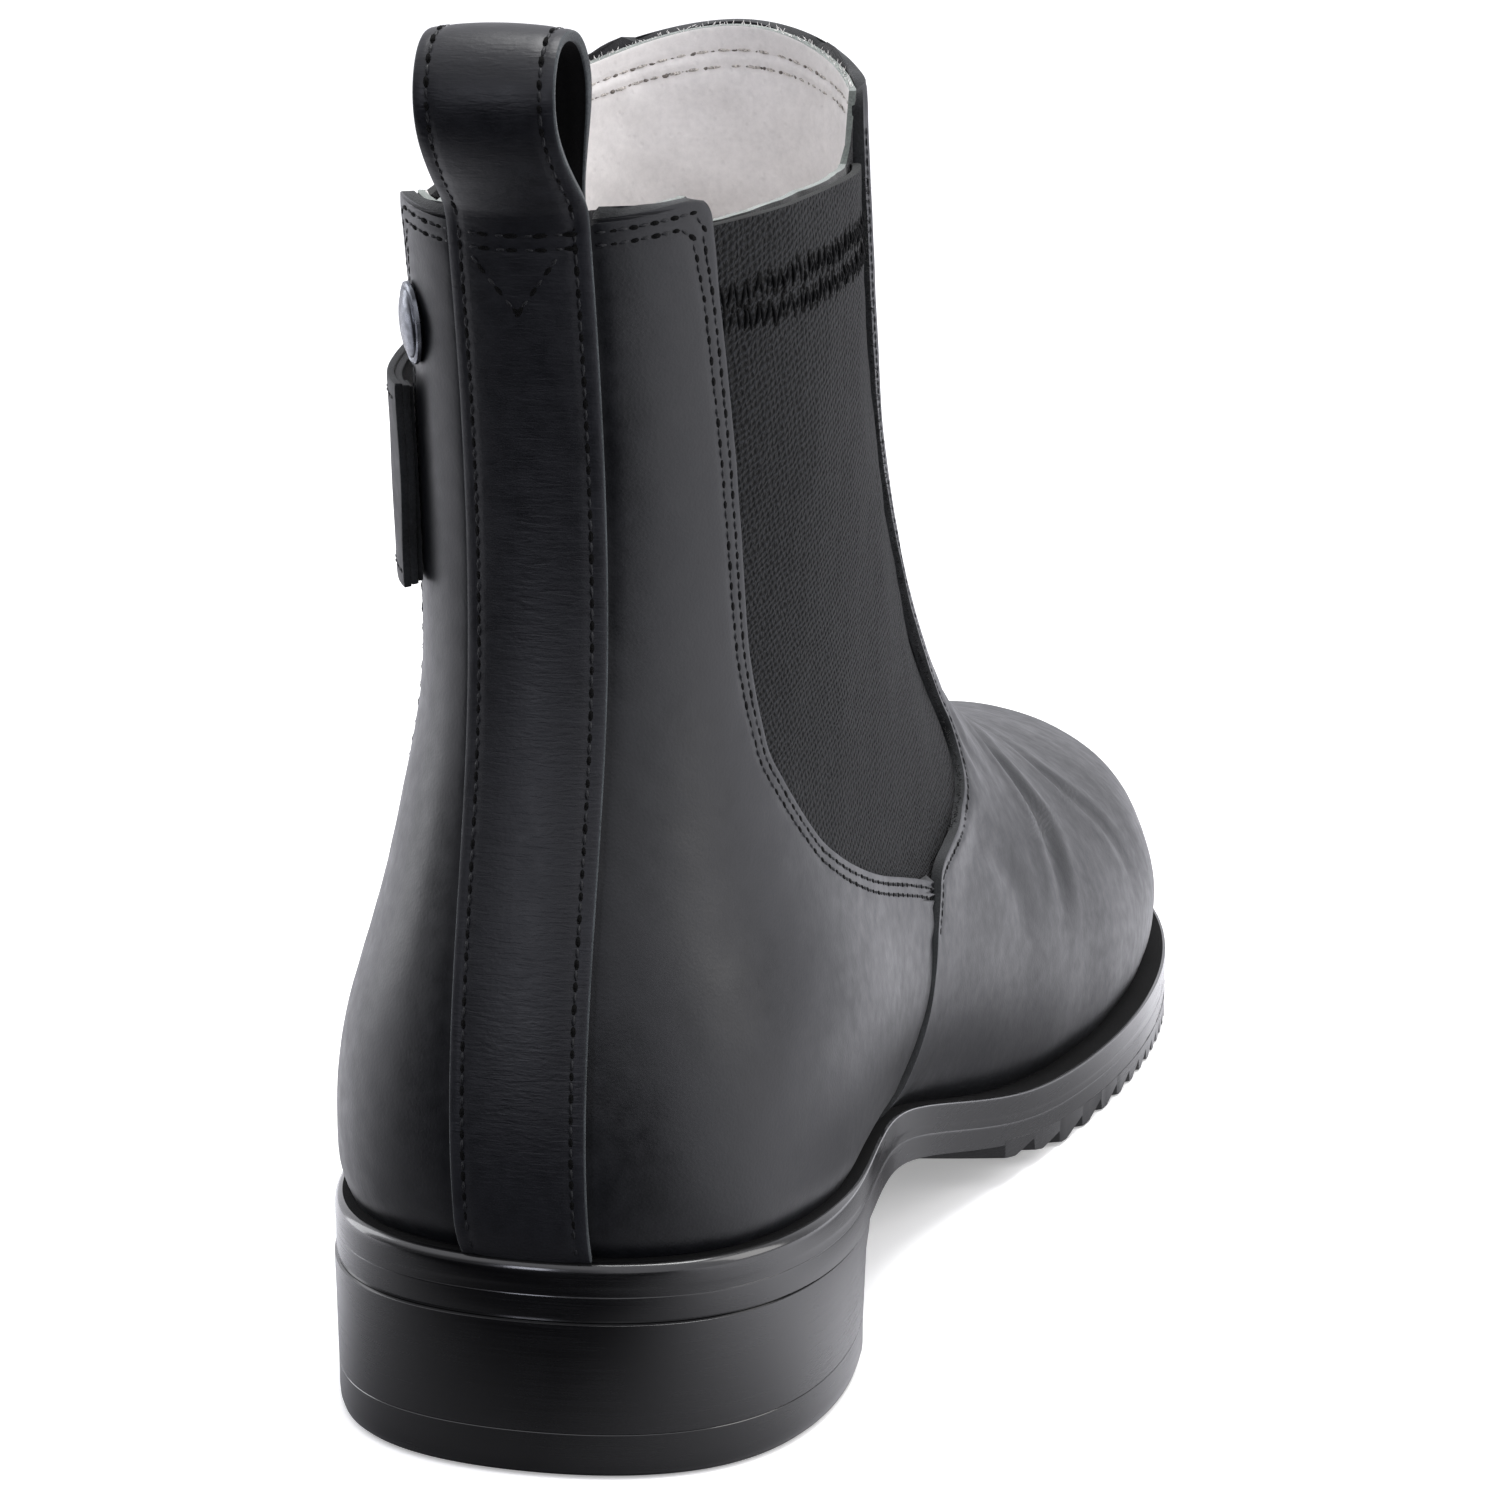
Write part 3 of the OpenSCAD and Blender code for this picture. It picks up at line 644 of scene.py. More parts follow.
def loop_controls():
    z = last(0.0, TOP)[0][2] + 1.6
    y0, y1 = lifted(0.0, TOP, GAP + 0.7)[1], lifted(0.0, TOP, TAIL_O - 0.7)[1]
    h, d = LOOP_H, LOOP_D
    return np.array([[y0, z - 3], [y0, z], [y0 - .24 * d, z + .14 * h], [y0 - .62 * d, z + .42 * h],
                     [y0 - .74 * d, z + .7 * h], [y0 - .6 * d, z + .97 * h], [y0 - .3 * d, z + 1.05 * h],
                     [y1 - .3 * d, z + .99 * h], [y1 - .07 * d, z + .72 * h], [y1 - .02 * d, z + .35 * h],
                     [y1, z], [y1, z - 3]])


def ribbon(across):
    """Points and normals of the ribbon's face at the places across it, from the feather line up the back,
    over the loop and down inside: arrays [along, across]."""
    x = np.asarray(across, float)[None]

    def on_last(v, height):
        size = np.linalg.norm(last(np.zeros_like(v), v)[1], axis=-1)
        return lifted(x / size, v, np.full(np.broadcast(x, v).shape, height)), outward(x / size, v)
    v = rows_up(150)[:, None]
    back, back_n = on_last(v, GAP + STRAP_T)
    inside, inside_n = on_last(np.linspace(TOP, 7.0, 24)[:, None], TAIL_O - STRAP_T)
    inside_n = -inside_n
    pts = loop_controls()
    n = len(pts) - 3
    t = np.linspace(0, n, 96)
    k = np.minimum(n - 1, np.floor(t).astype(int))
    w, s = weights(t - k), slopes(t - k)
    line = sum(w[i][:, None] * pts[k + i] for i in range(4))
    run = unit(sum(s[i][:, None] * pts[k + i] for i in range(4)))
    normal = np.stack([np.zeros(len(t)), -run[:, 1], run[:, 0]], 1)
    middle = np.stack([np.full(len(t), last(0.0, TOP)[0][0]), line[:, 0], line[:, 1]], 1) + 0.7 * normal
    # the curve across the strap fades out over the first and last part of the loop
    centre, centre_in = lifted(0.0, TOP, GAP + STRAP_T), lifted(0.0, TOP, TAIL_O - STRAP_T)
    straight = np.zeros((x.shape[1], 3))
    straight[:, 0] = x[0]
    start = back[-1] - centre - straight
    finish = inside[0] - centre_in - straight
    leaving, arriving = smooth(t / 2.4)[:, None, None], smooth((t - n + 2.4) / 2.4)[:, None, None]
    loop = middle[:, None] + straight[None] + start[None] * (1 - leaving) + finish[None] * arriving
    # the leather's own spring: the loop's sides curl back a little
    curl = (-(x[0] / 9) ** 2 * 0.5)[None, :, None]
    loop += normal[:, None] * curl * leaving * smooth((n - t) / 2.4)[:, None, None]
    points = np.concatenate([back, loop, inside[1:]])
    joins = len(v), len(v) + len(t)
    for _ in range(6):
        calm = points.copy()
        calm[1:-1] = (points[:-2] + 2 * points[1:-1] + points[2:]) / 4
        points[joins[0] - 5:joins[0] + 6] = calm[joins[0] - 5:joins[0] + 6]
        points[joins[1] - 6:joins[1] + 5] = calm[joins[1] - 6:joins[1] + 5]
    normals = np.concatenate([back_n, np.broadcast_to(normal[:, None], loop.shape), inside_n[1:]])
    return points, normals


RIBBON_BLEND = {"start": (0, -0.0322, 0.1595), "end": (0, -0.0322, 0.1735)}


def ribbon_seams():
    """Rows along both edges, two across at the top line and the V below them."""
    edges = []
    for x in (-STRAP_W / 2 + 1.9, STRAP_W / 2 - 1.9):
        points, normals = ribbon([x])
        edges.append({"points": points[2:, 0], "normals": normals[2:, 0]})
    size = np.linalg.norm(last(0.0, TOP)[1])
    lift = GAP + STRAP_T
    level = np.linspace(-7, 7, 40) / size
    across = [line_on(level, np.full(40, TOP - down / ROW_MM), lift) for down in CROSS_ROWS]
    slope = TOP - np.linspace(2.8, 10.1, 20) / ROW_MM
    legs = [line_on(np.linspace(x, 0, 20) / size, slope, lift) for x in (-6.1, 5.6)]
    return edges, across, legs


# ------------------------------------------------------------------ side strap

def strap_v(u):
    return 6.17 + 0.12 * (u - HINGE_U)


def strap_under(u):
    """Height over the last of the side strap's underside."""
    return mix(1.1, 2.7 + UPPER_T, smooth((HINGE_U - u) / 2.4))


def strap_grid(u, across, lift):
    """Points of the side strap at height lift above its own underside; across runs -1 to 1."""
    u, across = np.broadcast_arrays(u, across)
    middle = strap_v(u)
    half = SIDE_H / 2 / np.linalg.norm(last(u, middle)[2], axis=-1)
    narrow = 1 - 0.3 * np.clip((STRAP_FRONT_U + 0.45 - u) / 0.45, 0, 1) ** 2
    return lifted(u, middle + across * half * narrow, strap_under(u) + lift)


def strap_blend():
    height = strap_v(HINGE_U)
    a, b = lifted(HINGE_U + 0.05, height, 2.0), lifted(HINGE_U - 0.12, height, 2.0)
    return {"start": tuple(a * MM), "end": tuple(b * MM)}


def strap_seam():
    """The row round the strap, a little inside its edge."""
    inset, front_u = 0.84, STRAP_FRONT_U + 0.1
    us = np.linspace(-1.16, front_u, 120)
    top = strap_grid(us, np.full(120, inset), SIDE_T)
    front = strap_grid(np.full(30, front_u), np.linspace(inset, -inset, 30), SIDE_T)
    low = strap_grid(us[::-1], np.full(120, -inset), SIDE_T)
    points = np.concatenate([top, front[1:-1], low])
    u = np.concatenate([us, np.full(28, front_u), us[::-1]])
    return {"points": points, "normals": outward(u, strap_v(u))}


# ------------------------------------------------------------------ finishes

def add(tree, kind, sockets=None, **settings):
    """Adds a shader node with its settings; sockets holds values, or the outputs that they link from."""
    node = tree.nodes.new("ShaderNode" + kind)
    for key, value in settings.items():
        setattr(node, key, value)
    for key, value in (sockets or {}).items():
        if isinstance(value, bpy.types.NodeSocket):
            tree.links.new(value, node.inputs[key])
        else:
            node.inputs[key].default_value = value
    return node


def ramp(tree, factor, *stops):
    node = add(tree, "ValToRGB", {"Fac": factor})
    while len(node.color_ramp.elements) < len(stops):
        node.color_ramp.elements.new(0.5)
    for element, (place, code) in zip(node.color_ramp.elements, stops):
        element.position = place
        element.color = (*(linear(code) if isinstance(code, str) else code), 1)
    return node.outputs["Color"]


def new_finish(name, **surface):
    """An empty material with its shader; returns the material, its node tree and the shader."""
    made = bpy.data.materials.new(name)
    made.use_nodes = True
    tree = made.node_tree
    shader = tree.nodes["Principled BSDF"]
    for key, value in surface.items():
        shader.inputs[key.replace("_", " ")].default_value = value
    return made, tree, shader


def shade(rgb, factor):
    return tuple(min(1, c * factor) for c in rgb)


def maths(tree, operation, *values):
    """The result of a math node; values are numbers, or the outputs that it links from."""
    return add(tree, "Math", dict(enumerate(values)), operation=operation).outputs[0]


def noise(tree, place, scale, detail, **sockets):
    return add(tree, "TexNoise", {"Vector": place, "Scale": scale, "Detail": detail, **sockets}).outputs["Fac"]


def stretched(tree, place, *scale):
    return add(tree, "Mapping", {"Vector": place, "Scale": scale}).outputs["Vector"]


def ranged(tree, value, low, high, to_low=0.0, to_high=1.0, **settings):
    sockets = {"Value": value, "From Min": low, "From Max": high, "To Min": to_low, "To Max": to_high}
    return add(tree, "MapRange", sockets, **settings).outputs["Result"]


def blended(tree, factor, a, b):
    return add(tree, "Mix", {"Factor": factor, "A": a, "B": b}, data_type="RGBA").outputs["Result"]


def surfaced(tree, shader, tone, height, strength, depth, rough=None):
    """Links a colour, a relief of depth millimetres and, if it varies, a roughness to the shader."""
    bump = add(tree, "Bump", {"Height": height, "Strength": strength, "Distance": depth * MM})
    tree.links.new(tone, shader.inputs["Base Color"])
    tree.links.new(bump.outputs["Normal"], shader.inputs["Normal"])
    if rough is not None:
        tree.links.new(rough, shader.inputs["Roughness"])


def leather(name, base, roughness, grain, wrinkle=0.0, shine=0.5):
    """Dyed, glazed cowhide: near black, a soft broad shine, fine hair-cell grain, edges rubbed lighter."""
    made, tree, shader = new_finish(name, IOR=1.5, Specular_IOR_Level=shine)
    place = add(tree, "TexCoord").outputs["Object"]
    mottle = noise(tree, place, 420.0, 4.0)                                    # 2.4 mm across
    both = maths(tree, "ADD", noise(tree, place, 45.0, 3.0), mottle)           # with clouds 22 mm across
    tone = ramp(tree, maths(tree, "MULTIPLY", both, 0.5), (0.3, shade(base, 0.75)), (0.7, shade(base, 1.45)))
    rim = add(tree, "Attribute", attribute_name="rim").outputs["Fac"]
    rubbed = maths(tree, "MULTIPLY", maths(tree, "MULTIPLY", rim, mottle), 0.3)
    worn = blended(tree, rubbed, tone, (*shade(base, 5.5), 1))
    cells = add(tree, "TexVoronoi", {"Vector": place, "Scale": 1000 / grain}).outputs["Distance"]
    pattern = maths(tree, "ADD", cells, noise(tree, place, 1300.0, 3.0))
    pattern = maths(tree, "MULTIPLY_ADD", mottle, 2.4, pattern)
    # drawn lengthwise over the last, the grain is pulled into faint upright streaks 1 mm wide
    streaks = noise(tree, stretched(tree, place, 900.0, 900.0, 60.0), 1.0, 2.0)
    pattern = maths(tree, "MULTIPLY_ADD", streaks, 0.1, pattern)
    if wrinkle:
        # level wrinkles 3 mm long and 0.5 mm apart, from bending up and down
        folds = noise(tree, stretched(tree, place, 330.0, 330.0, 1900.0), 1.0, 3.0, Distortion=0.6)
        pattern = maths(tree, "MULTIPLY_ADD", folds, wrinkle, pattern)
    rough = ranged(tree, both, 0.6, 1.4, roughness - 0.07, roughness + 0.11)
    surfaced(tree, shader, worn, pattern, 0.35, 0.03, rough)
    return made


def fibres(name, dark, light, roughness=0.9, size=0.35, height=0.2, sheen=0.3):
    """Cut or split leather, board and suede: matt, with short fibres catching light."""
    made, tree, shader = new_finish(name, Roughness=roughness, IOR=1.45, Specular_IOR_Level=0.25,
                                    Sheen_Weight=sheen, Sheen_Roughness=0.5)
    place = add(tree, "TexCoord").outputs["Object"]
    tuft = noise(tree, place, 1000 / size, 4.0, Roughness=0.7)
    both = maths(tree, "ADD", tuft, noise(tree, place, 130.0, 2.0))
    tone = ramp(tree, maths(tree, "MULTIPLY", both, 0.5), (0.35, dark), (0.65, light))
    surfaced(tree, shader, tone, tuft, 0.6, height)
    return made


def wave(tree, turns):
    """A sine wave from 0 to 1."""
    return maths(tree, "MULTIPLY_ADD", maths(tree, "SINE", turns), 0.5, 0.5)


def webbing(name, yarn, rib):
    """Woven elastic: covered yarns cross in a brick pattern, with a pit where they part, 1 mm apart up each
    rib, so the cloth reads as a slanting twill; it is a little uneven where it has stretched. The colour follows the
    relief: painted shade in the pits, painted highlight where the fuzz stands highest."""
    made, tree, shader = new_finish(name, Roughness=0.78, IOR=1.48, Specular_IOR_Level=0.22,
                                    Sheen_Weight=0.04, Sheen_Roughness=0.4)
    flat = add(tree, "SeparateXYZ", {"Vector": add(tree, "UVMap", uv_map="UVMap").outputs["UV"]})
    place = add(tree, "TexCoord").outputs["Object"]
    uneven = add(tree, "TexNoise", {"Vector": place, "Scale": 420.0, "Detail": 3.0}).outputs["Color"]
    sway = add(tree, "SeparateXYZ", {"Vector": uneven})
    across = maths(tree, "MULTIPLY_ADD", sway.outputs["X"], rib * 1.5, flat.outputs["X"])
    rise = maths(tree, "MULTIPLY_ADD", sway.outputs["Y"], rib * 1.3, flat.outputs["Y"])
    turn = 2 * math.pi / rib
    ribs = wave(tree, maths(tree, "MULTIPLY", across, turn))
    set_off = maths(tree, "MULTIPLY", across, 0.42 * turn)
    dots = wave(tree, maths(tree, "MULTIPLY_ADD", rise, -turn / 0.87, set_off))
    pits_and_painted_shade = maths(tree, "MULTIPLY", maths(tree, "MULTIPLY_ADD", ribs, 0.7, 0.3), dots)
    fuzz = maths(tree, "MULTIPLY", noise(tree, place, 2300.0, 3.0), 0.9)
    height = maths(tree, "SUBTRACT", fuzz, pits_and_painted_shade)
    # painted shade and painted highlight: the colour follows the relief, near black in the pits and lighter where the
    # fuzz stands highest
    tone = ramp(tree, height, (0.0, shade(yarn, 0.15)), (0.3, yarn), (0.6, shade(yarn, 3.6)))
    surfaced(tree, shader, tone, height, 1.0, 0.4)
    return made


def pigskin(name, base):
    """Undyed pigskin lining: pale, matt, soft creases and follicles in threes; the follicle pits carry a little
    painted shade.
    """
    made, tree, shader = new_finish(name, Roughness=0.78, IOR=1.45, Sheen_Weight=0.2, Sheen_Roughness=0.5)
    place = add(tree, "TexCoord").outputs["Object"]
    nap = noise(tree, place, 900.0, 4.0, Roughness=0.7)
    both = maths(tree, "ADD", noise(tree, place, 90.0, 5.0, Roughness=0.6), nap)
    tone = ramp(tree, maths(tree, "MULTIPLY", both, 0.5), (0.3, shade(base, 0.84)), (0.7, shade(base, 1.08)))
    holes = add(tree, "TexVoronoi", {"Vector": place, "Scale": 620.0}).outputs["Distance"]
    pits_and_painted_shade = ranged(tree, holes, 0.05, 0.28)
    # painted shade: a little darker in the follicle pits
    dark = blended(tree, ranged(tree, pits_and_painted_shade, 0.0, 1.0, 0.1, 0.0), tone, (*shade(base, 0.6), 1))
    surfaced(tree, shader, dark, maths(tree, "MULTIPLY_ADD", nap, 0.6, pits_and_painted_shade), 0.5, 0.09)
    return made


def rubber(name, base, roughness):
    """Buffed sole rubber: deep black, a clear soft shine, fine level scuffs from the buffing wheel."""
    made, tree, shader = new_finish(name, IOR=1.52, Coat_Weight=0.8, Coat_Roughness=0.12, Coat_IOR=1.6)
    place = add(tree, "TexCoord").outputs["Object"]
    # strokes 17 mm long and 0.4 mm high
    strokes = noise(tree, stretched(tree, place, 60.0, 60.0, 2400.0), 1.0, 4.0, Roughness=0.65)
    both = maths(tree, "ADD", strokes, noise(tree, place, 70.0, 3.0))
    tone = ramp(tree, maths(tree, "MULTIPLY", both, 0.5), (0.35, shade(base, 0.8)), (0.68, shade(base, 1.7)))
    height = maths(tree, "MULTIPLY_ADD", noise(tree, place, 2200.0, 2.0), 0.4, strokes)
    rough = ranged(tree, both, 0.7, 1.35, roughness - 0.06, roughness + 0.14)
    surfaced(tree, shader, tone, height, 0.25, 0.05, rough)
    return made


def metal(name, base, roughness):
    """Plated brass, tumbled then rubbed: metal with a darker bloom in patches and hairline scratches."""
    made, tree, shader = new_finish(name, Metallic=1.0)
    place = add(tree, "TexCoord").outputs["Object"]
    bloom = noise(tree, place, 700.0, 4.0)
    hair = noise(tree, stretched(tree, place, 300.0, 300.0, 5200.0), 1.0, 2.0)
    tone = ramp(tree, bloom, (0.3, shade(base, 0.45)), (0.65, base))
    surfaced(tree, shader, tone, hair, 0.3, 0.02, ranged(tree, bloom, 0.3, 0.7, roughness + 0.15, roughness))
    return made


def thread(name, base, roughness, shine=0.35):
    """Waxed polyester thread: a tight twist that shows as tiny slanting ridges."""
    made, tree, shader = new_finish(name, Roughness=roughness, IOR=1.5, Specular_IOR_Level=shine)
    twist = noise(tree, add(tree, "TexCoord").outputs["Object"], 3400.0, 2.0)
    tone = ramp(tree, twist, (0.35, shade(base, 0.5)), (0.65, shade(base, 1.7)))
    surfaced(tree, shader, tone, twist, 0.6, 0.08)
    return made


def material(name):
    """The named finish, made the first time it is asked for."""
    known = bpy.data.materials.get(name)
    if known:
        return known
    scene = bpy.context.scene
    hide, elastic, sole = scene.boot_leather, scene.boot_elastic, scene.boot_sole
    calf, black = tuple(hide.calf), tuple(scene.boot_thread.black)
    recipes = {
        "box_calf_leather": lambda: leather(name, calf, 0.36, 0.45),
        "glazed_strap_leather": lambda: leather(name, tuple(hide.strap), 0.43, 0.6, wrinkle=6.0),
        "side_strap_leather": lambda: leather(name, shade(calf, 0.65), 0.5, 0.45, shine=0.28),
        "cut_leather_edge": lambda: fibres(name, "#101112", "#2d2f31", 0.75, sheen=0.15),
        "cut_strap_edge": lambda: fibres(name, "#222628", "#4a4f52", 0.75, sheen=0.15),
        "leather_flesh_side": lambda: fibres(name, "#0e0e10", "#1d1d20", 0.95),
        # near black, and darker than the other flesh sides as painted shade of the loop's inside
        "strap_flesh_side_painted_shade": lambda: fibres(name, "#060606", "#0e0e0f", 1.0, sheen=0.0),
        "elastic_webbing": lambda: webbing(name, tuple(elastic.yarn), elastic.rib / MM),
        "elastic_cut_edge": lambda: fibres(name, "#0a0b0a", "#1c1e1d", 0.95, sheen=0.1),
        "pigskin_lining": lambda: pigskin(name, tuple(hide.lining)),
        "pigskin_cut_edge": lambda: fibres(name, "#59605d", "#8f9590", 0.95, sheen=0.4),
        "moulded_sole_rubber": lambda: rubber(name, tuple(sole.rubber), 0.2),
        "matt_corner_rubber": lambda: fibres(name, "#030303", "#0a0a0b", sheen=0.0),
        "gunmetal_plating": lambda: metal(name, tuple(sole.metal), 0.22),
        "spring_steel": lambda: metal(name, linear("#a9adb2"), 0.35),
        "polyester_thread": lambda: thread(name, black, 0.5),
        "gather_thread": lambda: thread(name, shade(black, 0.25), 0.8, shine=0.12),
        "undyed_thread": lambda: thread(name, linear("#b3aea8"), 0.7),
        # needle holes are discs laid on the face, dark as painted shade of a hole
        "needle_hole_painted_shade": lambda: fibres(name, "#010101", "#040404", 1.0, sheen=0.0),
        "pigskin_hole_painted_shade": lambda: fibres(name, "#77726d", "#969089", 1.0, sheen=0.0),
        "leatherboard": lambda: fibres(name, "#6d5339", "#97765a"),
        "cellulose_board": lambda: fibres(name, "#8e7853", "#b39c75"),
        "pressed_cork": lambda: fibres(name, "#7c5830", "#b98a55", size=1.4, height=0.4),
    }
    return recipes[name]()


def refinish(node, finish):
    """Gives one of the frame's own solids its finish."""
    mesh = frame["nodes"][node].data
    mesh.materials.clear()
    mesh.materials.append(material(finish))


# ------------------------------------------------------------------ the operators

class BootOperator:
    bl_options = {"REGISTER", "UNDO"}


class BOOT_OT_vamp(BootOperator, Operator):
    """Lays the vamp: one piece from the toe up the front of the shaft, lapped over the quarters."""
    bl_idname = "boot.vamp"
    bl_label = "Vamp"

    def execute(self, context):
        hide = context.scene.boot_leather
        left = rounded(vamp_line, 1)

        def right(h):
            return 12 - left(h)
        v = rows_up(150)
        u = near_edges(left, right, v, NEAR, NEAR, 160)
        v = np.broadcast_to(v[:, None], u.shape)
        height = vamp_height(u, v)
        face = lifted(u, v, height)
        relief = pulled_in(vamp_seams(), face, hide.seam / MM)
        deep = hide.crease / MM
        relief += creased(face, [
            ([(3.72, 1.3), (3.82, 2.0), (3.97, 2.55), (4.2, 3.0), (4.36, 3.5), (4.8, 3.95), (5.5, 4.15),
              (6.4, 4.1), (7.1, 3.8), (7.6, 3.25), (7.85, 2.4)], deep, 3.2),
            ([(4.3, 1.0), (4.38, 1.74), (4.42, 2.35), (4.55, 3.0), (4.95, 3.45), (5.6, 3.7), (6.4, 3.6),
              (7.05, 3.25), (7.5, 2.65), (7.7, 2.0)], deep * 0.7, 2.8),
            ([(3.42, 3.3), (3.5, 2.8), (3.56, 2.2), (3.5, 1.5)], deep * 0.4, 4.0),
            ([(7.75, 1.8), (7.4, 2.3), (7.0, 2.75), (6.5, 3.0)], deep * 0.45, 3.0),
            ([(3.95, 3.3), (4.05, 3.7), (4.3, 4.1), (4.7, 4.4)], deep * 0.4, 3.0),
            ([(8.1, 2.9), (7.95, 3.5), (7.6, 4.1), (7.1, 4.4)], deep * 0.45, 3.2)])
        relief += 0.16 * ripple(face, 34, 3) + 0.03 * ripple(face, 9, 4)
        # the edge is thinned beside the gore, more so towards the top
        beside = np.minimum(u - left(v), right(v) - u) / slant(vamp_line, v)
        thinned = (0.15 + 0.65 * smooth((v - 4.4) / 2)) * smooth((v - 2.9) / 0.4)
        relief -= thinned * np.exp(-(beside / 1.5) ** 2)
        off = np.minimum(beside, (TOP - v) * ROW_MM)
        piece = sheet_of("vamp_leather", lifted(u, v, height + relief), UPPER_T, CALF_SKINS, "boot",
                         "black_leather", rim=np.exp(-off / 1.1))
        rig.replaces(piece, "vamp")
        return {"FINISHED"}


class BOOT_OT_quarters(BootOperator, Operator):
    """Lays the two quarters that meet under the back strap and edge the gores."""
    bl_idname = "boot.quarters"
    bl_label = "Quarters"

    def execute(self, context):
        hide = context.scene.boot_leather
        heights = rows_up(140)
        edge = rounded(quarter_line, -1)
        beside_seam = np.array([0, 1.5, 3.0, 4.5, 6.0, 7.5])

        def back_seam(h):
            return np.full_like(np.asarray(h, float), 0.012)
        for outer, name, node in ((False, "quarter_leather_inner", "quarter_inner"),
                                  (True, "quarter_leather_outer", "quarter_outer")):
            u = near_edges(back_seam, edge, heights, beside_seam, NEAR, 48)
            v = np.broadcast_to(heights[:, None], u.shape)
            off = np.minimum((edge(v) - u) / slant(quarter_line, v), (TOP - v) * ROW_MM)
            if outer:
                u, v, off = -u[:, ::-1], v[:, ::-1], off[:, ::-1]
            face = lifted(u, v, np.zeros(u.shape))
            relief = pulled_in(quarter_seams(outer), face, hide.seam / MM)
            # it is drawn in beside the back strap
            beside = np.abs(u) * np.linalg.norm(last(0.0, v)[1], axis=-1) - STRAP_W / 2
            relief -= 0.25 * np.exp(-(beside / 1.2) ** 2)
            relief += 0.13 * ripple(face, 38, 5 + outer) + 0.02 * ripple(face, 8, 8 + outer)
            # it is pressed down where the vamp laps over it
            under = smooth((3.15 - v) / 0.4) * smooth((np.abs(u) - vamp_line(v) + 0.022) / 0.02)
            relief = relief * (1 - under) - (UPPER_T + 0.08 - SKIVED) * under
            # it sinks a little towards its cut edge
            relief -= 0.12 * np.exp(-off / 0.7)
            piece = sheet_of(name, lifted(u, v, relief), UPPER_T, CALF_SKINS, "boot", "black_leather",
                             rim=np.exp(-off / 1.1))
            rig.replaces(piece, node)
        return {"FINISHED"}


def gore_height(u, v):
    """The elastic lies under both leather edges and swells a little between them."""
    w = np.abs(u)
    into = np.clip(np.minimum(w - quarter_line(v), vamp_line(v) - w), 0, 1)
    return GORE_O + 0.3 + (0.9 * smooth(into / 0.9) + 0.35 * smooth(into / 0.06)) * smooth((v - 2.5) / 1.4)


class BOOT_OT_gores(BootOperator, Operator):
    """Lays the two elastic gores, a little hollow between quarter and vamp."""
    bl_idname = "boot.gores"
    bl_label = "Elastic gores"

    def execute(self, context):
        t = np.linspace(0, 1, 130)[:, None]
        s = np.linspace(0, 1, 74)[None]
        skins = ("elastic_webbing", "elastic_cut_edge", "elastic_webbing")
        for outer, name, node in ((False, "gore_webbing_inner", "gore_inner"),
                                  (True, "gore_webbing_outer", "gore_outer")):
            share = 1 - s if outer else s
            v = mix(2.42, mix(7.8, 7.45, share), t)
            low = quarter_line(v) - mix(0.2, 0.32, smooth((3 - v) / 0.5))
            u = mix(low, vamp_line(v) + 0.2, share)
            if outer:
                u = -u
            height = gore_height(u, v)
            face = lifted(u, v, height)
            height = height + 0.14 * ripple(face, 30, 11 + outer) + 0.05 * ripple(face, 7, 13 + outer)
            piece = sheet_of(name, lifted(u, v, height), ELASTIC_T, skins, "boot", "elastic")
            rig.replaces(piece, node)
        return {"FINISHED"}


def lining_height(u, v):
    """The lining lies on the gores, and closes on the leather at the top line elsewhere."""
    w = from_seam(u)
    by_quarter = smooth((w - 0.5) / 0.3) * (1 - smooth((w - 1.02) / 0.18))
    by_vamp = smooth((w - 3.78) / 0.12)
    closing = smooth((v - 6.4) / 1.3)
    on_leather = mix(LINING_O, -UPPER_T - 0.06, closing * (by_quarter + by_vamp))
    return np.maximum(on_leather, mix(LINING_O, LINING_O + 0.5, closing)) + np.zeros_like(u)


class BOOT_OT_lining(BootOperator, Operator):
    """Lays the pigskin lining: a rear part and a front part that meet under the quarters."""
    bl_idname = "boot.lining"
    bl_label = "Lining"

    def execute(self, context):
        rows = rows_up(96)
        skins = ("leather_flesh_side", "pigskin_cut_edge", "pigskin_lining")
        for name, node, columns, front in (("lining_pigskin_front", "lining_front", 190, True),
                                           ("lining_pigskin_rear", "lining_rear", 120, False)):
            edge = lining_line(rows)[:, None]
            s = np.linspace(0, 1, columns)[None]
            u = mix(edge + 0.005, 12 - edge - 0.005, s) if front else mix(-edge + 0.005, edge - 0.005, s)
            v = np.broadcast_to(rows[:, None], u.shape)
            v = np.where(v > 7.0, 7.0 + (v - 7.0) * (lining_top(u) - 7.0), v)
            height = lining_height(u, v)
            face = lifted(u, v, height)
            rumple = 0.3 * ripple(face, 26, 21) + 0.12 * ripple(face, 7, 22)
            height = height - np.abs(rumple) * smooth((TOP - v) * ROW_MM / 6)
            # the rows of stitching under the rim draw the pigskin in, and puckers run square to them
            down = (lining_top(u) - v) * ROW_MM
            drawn = sum(np.exp(-((down - row) / 0.5) ** 2) for row in LINING_ROWS)
            w = from_seam(u)
            sewn_zone = smooth((w - 3.9) / 0.2) + (1 - smooth((w - 1.0) / 0.1))
            pucker = np.sin(u * 55 + 3 * ripple(face, 9, 23)) * np.exp(-((down - 6) / 4.0) ** 2)
            height = height + sewn_zone * (0.3 * drawn + 0.12 * pucker)
            height = height - 0.25 * sewn_zone * np.exp(-(down / 1.6) ** 2)
            piece = sheet_of(name, lifted(u, v, height), LINING_T, skins, "boot", "lining_leather", edge=0.28)
            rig.replaces(piece, node)
        return {"FINISHED"}


